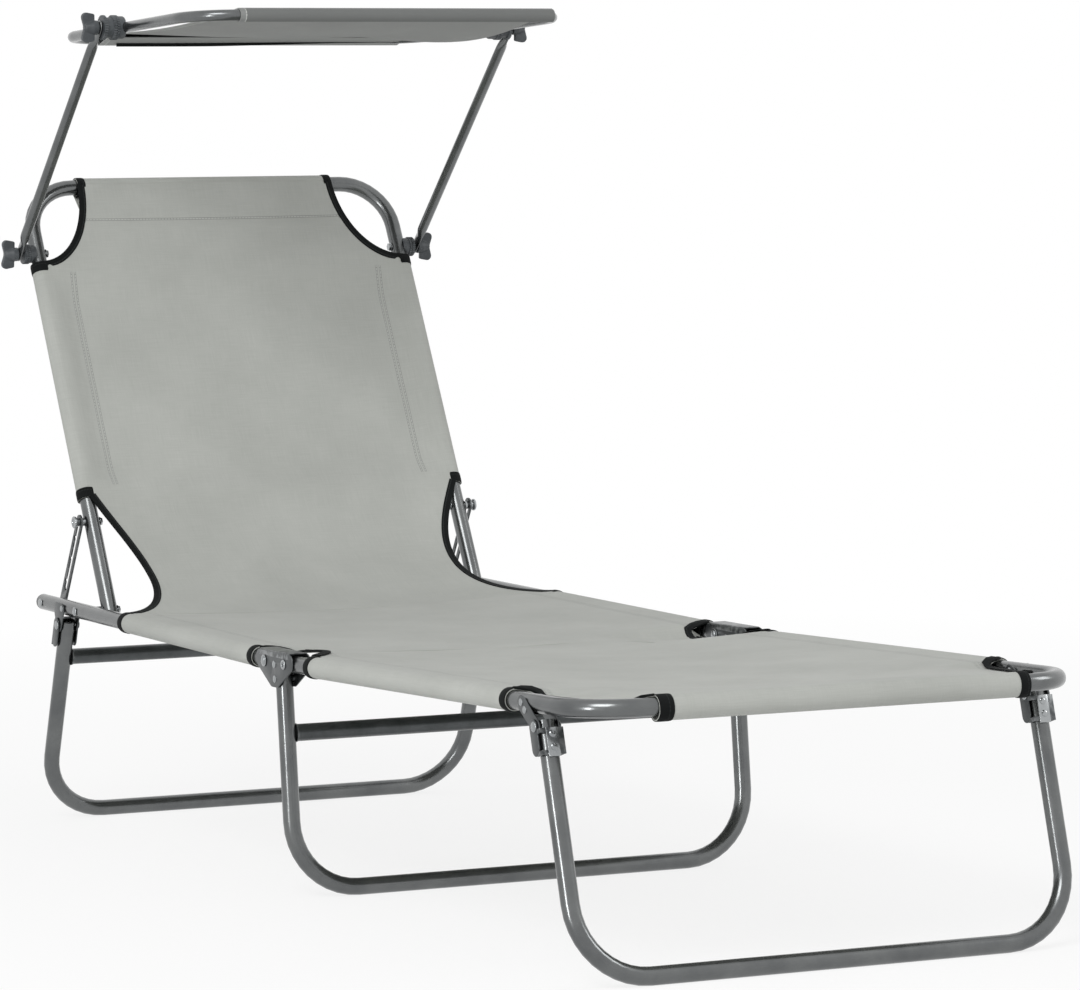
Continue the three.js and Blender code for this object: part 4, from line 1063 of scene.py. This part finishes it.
def binding_tape(name, slot):
    """Black binding tape: a fine cross rib and a row of stitches."""
    finish = Finish(name, slot)
    flat, across, along = chart_of(finish)
    rib = finish.add("Math", {"operation": "SINE"}, {0: along * (2 * pi / 0.0012)})
    fuzz = finish.noise(900, 3, 0.6, flat)
    cloud = finish.noise(30, 3, 0.5, flat)
    row = abs(across - 0.0026).below(0.0003) * (along % 0.0038).above(0.0008)
    colour = finish.mix(finish.ramp(cloud * 0.6 + fuzz * 0.4, 0.35, 0.65), shade(5, 8, 8), shade(13, 16, 16))
    finish.set("Base Color", finish.mix(row * 0.5, colour, shade(52, 55, 55)))
    finish.set("Roughness", 0.68 + finish.ramp(fuzz, 0.3, 0.7) * 0.16)
    finish.set("Specular IOR Level", 0.15)
    finish.bump(rib * 0.5 + fuzz + row, 0.00012, 0.8)
    return finish


tape_finish = binding_tape("binding_tape", "sling_cloth")


def side_wrap(side, spread, stations, sign, seam_sink=2.5):
    """A sleeve whose rows match the sheet's own stations, so that they can be sewn together."""
    rows = len(stations) - 1

    def place(share, along):
        y = sign * stations[round(along * rows)]
        out, high, used = wrap_profile(share, seam_level - seam_sink, 33)
        return (side * (spread + out), y, high), (side * (spread + used), y)
    return drape(24, rows, place, lambda at: Vector((at.x - side * spread, 0, at.z)))


def side_wraps(spread, stations, start, end, sign, seam_sink=2.5):
    """Both side sleeves, on those of the sheet's stations that lie between their ends."""
    rows = [t for t in stations if start - 0.1 <= t <= end + 0.1]
    return [side_wrap(side, spread, rows, sign, seam_sink) for side in (-1, 1)]


def sewn(name, parts, where, finish):
    """Joins the parts of a cloth at their shared edges, gives it its thickness and dresses it."""
    piece = joined(*parts)
    edit("SELECT")
    bpy.ops.mesh.remove_doubles(threshold=0.45 * mm)
    bpy.ops.object.mode_set(mode="OBJECT")
    modify("SOLIDIFY", thickness=cloth_thick * mm, offset=-1)
    return dress(piece, name, where, finish, 60)


def bound(name, where, point, runs, rings):
    """The tape of a cloth as one piece: a run along each open edge and a ring at each sleeve end."""
    tapes = []
    for across, side in ((0, -1), (1, 1)):
        tapes += [bound_edge(edge_path(point, across, run)) for run in runs]
        tapes += [tape_ring(*ring) for ring in rings(side)]
    return dress(joined(*tapes), name, where, tape_finish, 50)


ring_width, ring_inset = 12.5, 6
foot_ring_widths = {-1: 16, 1: 11.4}


def sleeve_rings(side, spread, start, end, sign=1):
    """Rings just inside both ends of a side sleeve."""
    return [((side * spread, sign * y, 0), Y, ring_width) for y in (start + ring_inset, end - ring_inset)]


def foot_rings(side):
    width = foot_ring_widths[side]
    bar_ring = (side * (foot_bar_ends[side] - width / 2), -foot_reach, 0), X, width, foot_bar_sag
    return [*sleeve_rings(side, rail_spread, *foot_sleeve, -1), bar_ring]


corner_marks = (foot_sleeve[1], corner_start, 601, 651, 685, 703, foot_reach)
foot_stations = along_stations(-middle_pivot_y, 0, notch_mark, foot_sleeve[0], *corner_marks)
foot_cloth = sewn("foot_cloth", [
    sheet_of(foot_point, foot_stations), *side_wraps(rail_spread, foot_stations, *foot_sleeve, -1),
    bar_sleeve(-foot_bar_ends[-1], foot_bar_ends[1], -foot_reach, -1, 70, seam=seam_level - 9.5, depth=30,
               wrap=1.05, lift=0, drop=foot_bar_sag)], foot_place, bed_cloth)
foot_tape = bound("foot_binding", foot_place, foot_point, [
    along_stations(-middle_pivot_y, 0, notch_mark, foot_sleeve[0], foot_sleeve[0] + 4, step=4),
    along_stations(foot_sleeve[1] - 4, *corner_marks, step=4)], foot_rings)
for piece in (foot_cloth, foot_tape):
    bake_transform(piece)
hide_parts("foot_fabric")

# Seat cloth: the same bed cloth from the middle brackets to the lap, in sleeves on the seat rails. Its edges
# beside the brackets are cut back and bound.
seat_stations = along_stations(-middle_pivot_y, 0, notch_mark, *seat_sleeve)


def seat_point(across, travel):
    half = widening(travel, seat_sleeve[0], 1 if across > 0.5 else -1)
    ripple = 0.6 * noise.noise(Vector((across * 5, travel / 38, 7)))
    lift = notch_lift(across, travel, seat_sleeve[0], -5)
    x = half * (2 * across - 1)
    return Vector((x, travel, cloth_top - hang(across, 9) + ripple + lift)), (x, travel)


seat_cloth = sewn("seat_cloth", [
    sheet_of(seat_point, seat_stations), *side_wraps(rail_spread, seat_stations, *seat_sleeve, 1)],
    seat_place, bed_cloth)
seat_tape = bound(
    "seat_binding", seat_place, seat_point,
    [along_stations(-middle_pivot_y, 0, notch_mark, seat_sleeve[0], seat_sleeve[0] + 4, step=4)],
    lambda side: sleeve_rings(side, rail_spread, *seat_sleeve))
for piece in (seat_cloth, seat_tape):
    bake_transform(piece)
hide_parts("seat_fabric")

# Backrest cloth: runs on from the seat through the deep scooped lap and up the backrest, sleeved on both
# side tubes, with a hemmed sleeve round the top bar and a scooped corner at each side.
lap_radius, lap_reach, back_sleeve = 235.57, 124.31, (146.0, 466.0)
lap_half = lap_reach + 1.5
lap_scoop = 75
back_bar_ends = {-1: 178, 1: 167}
back_seam = 207
sleeve_run = back_sleeve[1] - back_sleeve[0]
top_travel = back_length - back_sleeve[0]
hem_seam = top_travel - 52
scoop_marks = (sleeve_run, 320.4, 321.4, 323, 326, 331, 338, 350)
back_cloth_start = -2 * lap_half
to_back = back_place.inverted() @ seat_place


def back_point(across, travel):
    """Travel is nought at the lower end of the backrest's sleeves, and negative down the lap."""
    if travel < -lap_half:
        bent = travel + 2 * lap_half
        turn = bent / lap_radius
        half = rail_spread - lap_scoop * sin(pi / 2 * min(max(bent, 0) / lap_reach, 1)) ** 0.7
        y = seat_sleeve[1] + lap_radius * sin(turn)
        rise = lap_radius * (1 - cos(turn))
        sag = 9 * smoothly(1 - bent / lap_reach, 0, 1)
        x = half * (2 * across - 1)
        spot = to_back @ (Vector((x, y, cloth_top + rise - hang(across, sag))) * mm) / mm
        return spot, (x * 0.86, travel)
    bent = max(-travel, 0)
    turn = bent / lap_radius
    up = back_sleeve[0] + travel if travel >= 0 else back_sleeve[0] - lap_radius * sin(turn)
    rise = lap_radius * (1 - cos(turn))
    lap = back_spread - (lap_scoop - rail_spread + back_spread) * sin(pi / 2 * min(bent / lap_reach, 1))
    share = min(max((up - back_sleeve[1]) / (back_length - back_sleeve[1]), 0), 1)
    end = back_bar_ends[1 if across > 0.5 else -1]
    top = end + (back_spread - end) * (1 - sqrt(1 - (1 - share) ** 2))
    half = min(lap, top)
    x = half * (2 * across - 1)
    slack = smoothly(up, 0, back_sleeve[0]) * smoothly(back_length - up, 0, back_length - back_sleeve[1])
    drawn = smoothly(travel, 0, 45) * smoothly(sleeve_run - travel, 0, 60)
    fold = 11 * smoothly(back_spread - abs(x), 0, back_spread - back_seam) * drawn
    fold += 0.9 * drawn * max(0, 1 - abs(abs(x) - back_seam) / 5)
    hem = 1.4 * max(0, 1 - abs(travel - hem_seam) / 4) * smoothly(half - abs(x), 0, 20)
    ripple = 0.4 * noise.noise(Vector((across * 4, travel / 60, 11))) * slack
    spot = Vector((x, up, cloth_top + rise - fold - hem - hang(across, 4) * slack + ripple))
    return spot, (x, travel)


back_stations = along_stations(
    back_cloth_start, -lap_half, 0, *scoop_marks, hem_seam - 4, hem_seam, hem_seam + 4, 410, 422, top_travel)
back_cloth_finish = woven_cloth(
    "backrest_cloth", "sling_cloth", cloth_dark, cloth_light, side_seam=back_seam * mm,
    cross_seams=((hem_seam + 1.5) * mm,), seam_run=(0.016, 0.306))
wraps = side_wraps(back_spread, [t + back_sleeve[0] for t in back_stations], *back_sleeve, 1, 13.5)
for wrap in wraps:
    for loop in wrap.data.uv_layers[0].data:
        loop.uv = (loop.uv[0], loop.uv[1] - back_sleeve[0] * mm)
back_cloth = sewn("backrest_cloth", [
    sheet_of(back_point, back_stations), *wraps,
    bar_sleeve(-back_bar_ends[-1], back_bar_ends[1], back_length, 1, 70, seam=seam_level - 7, depth=40,
               wrap=1.05, lift=0)], back_place, back_cloth_finish)


def back_rings(side):
    bar_ring = (side * (back_bar_ends[side] - 5), back_length, 0), X, 10
    return [*sleeve_rings(side, back_spread, *back_sleeve), bar_ring]


lap_run = along_stations(back_cloth_start - 3, -lap_half, 0, 3, step=5)
back_tape = bound("backrest_binding", back_place, back_point, [
    [max(t, back_cloth_start) for t in lap_run],
    along_stations(sleeve_run - 4, *scoop_marks, 390, 410, 422, top_travel, step=4)], back_rings)
for piece in (back_cloth, back_tape):
    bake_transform(piece)
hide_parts("backrest_fabric")

# Canopy cloth: one slack sheet, whose cloth is painted darker than the bed cloth as shade on its underside, sewn
# round the front and rear bars and hemmed at both side edges. A black ribbon in its rear seam and along its right
# edge paints the dark shadow line there.
canopy_left, canopy_right, canopy_sleeve, canopy_top = -186, 216, 7.9, 8.3
canopy_flap, canopy_seam = 30, canopy_top - cloth_thick - 7.5
canopy_depth = canopy_rear - canopy_front
# The canopy's cloth tones are darker than the bed cloth's: painted shade for its underside.
canopy_finish = woven_cloth(
    "canopy_cloth", "canopy_cloth", shade(124, 126, 124), shade(140, 142, 140), hem=(
        # The darker colour paints shade on the front sleeve; the paler one paints light on the rear sleeve and pales
        # the left hem.
        canopy_front * mm, canopy_rear * mm, (canopy_left + 7) * mm, shade(96, 98, 97), shade(152, 154, 152)))


def canopy_point(across, y):
    x = between(canopy_left, canopy_right, across)
    share = (y - canopy_front) / canopy_depth
    drop = hang(share, 17) * (1 + hang(across, 1)) / 2 + hang(share, 14) * smoothly(across, 0.72, 1)
    return Vector((x, y, canopy_top - drop)), (x, y)


def canopy_shadow_ribbon():
    """A black ribbon that paints the dark shadow line under the rear seam, deep at the left and dying out, then on
    along the right edge.
    """
    seam = [Vector((x, 0, 0)) for x in spaced(canopy_left + 18, canopy_right - 8, 8)]
    edge = [Vector((canopy_right, y, 0)) for y in spaced(canopy_rear - 30, canopy_front + 60, 8)]
    line = seam + edge
    rows = len(line) - 1

    def place(share, along):
        spot = line[round(along * rows)].copy()
        across = (spot.x - canopy_left) / (canopy_right - canopy_left)
        if along * rows < len(seam) - 0.5:
            inward = between(13, 16, smoothly(across, 0.2, 0.75))
            spot.y = canopy_rear - inward
            top = between(-7.7, 0.3, (inward - 2) / 28)
            deep = between(4.2, 0.6, smoothly(across, 0.3, 0.95))
        else:
            top, deep = canopy_point(across, spot.y)[0].z, 2.4
        spot.z = top - cloth_thick - deep * share
        return spot, (share * deep, along * 800)
    ribbon = drape(3, rows, place, lambda at: -Y)
    modify("SOLIDIFY", thickness=0.8 * mm, offset=0)
    return ribbon


canopy_parts = [sheet_of(canopy_point, spaced(canopy_front, canopy_rear, 8), 48)]
for y, way in ((canopy_front, -1), (canopy_rear, 1)):
    canopy_parts.append(bar_sleeve(
        canopy_left, canopy_right, y, way, 48, seam=canopy_seam, depth=canopy_flap, radius=canopy_sleeve))
canopy_cloth = sewn("canopy_sheet", canopy_parts, canopy_place, canopy_finish)
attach(canopy_cloth, "canopy")
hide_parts("canopy_fabric")
# The black ribbon is painted shadow: it stands for the dark gap at the rear seam and the fold at the right edge.
canopy_shadow_strip = dress(canopy_shadow_ribbon(), "canopy_shadow_ribbon", canopy_place, tape_finish, 50)
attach(canopy_shadow_strip, "canopy")

# Studio: a white floor that keeps the soft shadow, a white surround, a large soft lamp from the upper left in
# front, a low narrow one beside it for the stripes on the tubes, and a weaker one from the right.
bpy.ops.mesh.primitive_plane_add(size=60, location=(0, 0, 0))
floor = bpy.context.object
floor.name = "studio_floor"
floor_finish = Finish("studio_white", "")
floor_finish.set("Base Color", (0.9, 0.9, 0.9, 1))
floor_finish.set("Roughness", 0.9)
floor_finish.set("Specular IOR Level", 0.0)
rays = floor_finish.nodes.new("ShaderNodeLightPath")
seen = sum(Wire(floor_finish, rays.outputs[ray]) for ray in ("Is Camera Ray", "Is Glossy Ray", "Is Transmission Ray"))
glow = floor_finish.nodes.new("ShaderNodeEmission")
glow.inputs["Strength"].default_value = 1.0
mixed = floor_finish.nodes.new("ShaderNodeMixShader")
links = floor_finish.material.node_tree.links
reach = floor_finish.add("VectorMath", {"operation": "LENGTH"}, {0: floor_finish.place}, out="Value")
share = seen * (0.82 + floor_finish.ramp(reach, 1.0, 3.2) * 0.18)
floor_finish.join(mixed.inputs[0], share.math("MINIMUM", share, 1))
links.new(floor_finish.shader.outputs[0], mixed.inputs[1])
links.new(glow.outputs[0], mixed.inputs[2])
links.new(mixed.outputs[0], floor_finish.nodes["Material Output"].inputs["Surface"])
floor.data.materials.append(floor_finish.material)

world = bpy.data.worlds.new("studio")
bpy.context.scene.world = world
world.use_nodes = True
tree = world.node_tree
tree.nodes.clear()


def world_node(kind, *feeds, **values):
    """A node of the surround: its first sockets take the feeds, the named ones their values."""
    made = tree.nodes.new("ShaderNode" + kind)
    for socket, feed in zip(made.inputs, feeds):
        tree.links.new(feed, socket)
    for name, value in values.items():
        made.inputs[name].default_value = value
    return made


path = world_node("LightPath")
mirrored = world_node("Math", path.outputs["Is Glossy Ray"], path.outputs["Is Transmission Ray"])
either = world_node("Math", path.outputs["Is Camera Ray"], mirrored.outputs[0])
either.use_clamp = True
ambient = world_node("Background", Color=(1, 1, 1, 1), Strength=0.58)
white = world_node("Background", Color=(1, 1, 1, 1), Strength=1.0)
choose = world_node("MixShader", either.outputs[0], ambient.outputs[0], white.outputs[0])
world_node("OutputWorld", choose.outputs[0])


def soft_lamp(name, place, aim, size, power):
    bpy.ops.object.light_add(type="AREA", location=place)
    lamp = bpy.context.object
    lamp.name = name
    lamp.data.shape = "RECTANGLE"
    lamp.data.size, lamp.data.size_y = size
    lamp.data.energy = power
    lamp.rotation_euler = (Vector(aim) - Vector(place)).to_track_quat("-Z", "Y").to_euler()


soft_lamp("key_lamp", (-2.9, -2.8, 3.7), (0, 0, 0.4), (2.2, 2.2), 104)
soft_lamp("strip_lamp", (-3.4, -2.0, 0.6), (0, 0, 0.4), (0.4, 1.1), 30)
soft_lamp("fill_lamp", (3.6, -2.2, 2.6), (0, 0, 0.4), (1.6, 1.6), 38)

# Camera at the photograph's own angle: a long lens from the foot end, a little left of the bed. Its lens
# comes from the photograph's focal length in its own pixels.
focal_pixels, photo_width = 5092.13, 1080
yaw, pitch, roll = radians(25.972), radians(-3.901), radians(-0.615)
forward = Vector((sin(yaw) * cos(pitch), cos(yaw) * cos(pitch), sin(pitch)))
right = Vector((cos(yaw), -sin(yaw), 0))
up = right.cross(forward)
tilted_right = right * cos(roll) + up * sin(roll)
tilted_up = up * cos(roll) - right * sin(roll)
turn = Matrix((tilted_right, tilted_up, -forward)).transposed()
bpy.ops.object.camera_add(location=(-2.4555, -5.1832, 0.8175), rotation=turn.to_euler())
camera = bpy.context.object
camera.data.sensor_fit = "HORIZONTAL"
camera.data.sensor_width = 36
camera.data.lens = focal_pixels / photo_width * camera.data.sensor_width
camera.data.clip_end = 100
bpy.context.scene.camera = camera
bpy.context.scene.view_settings.view_transform = "Standard"
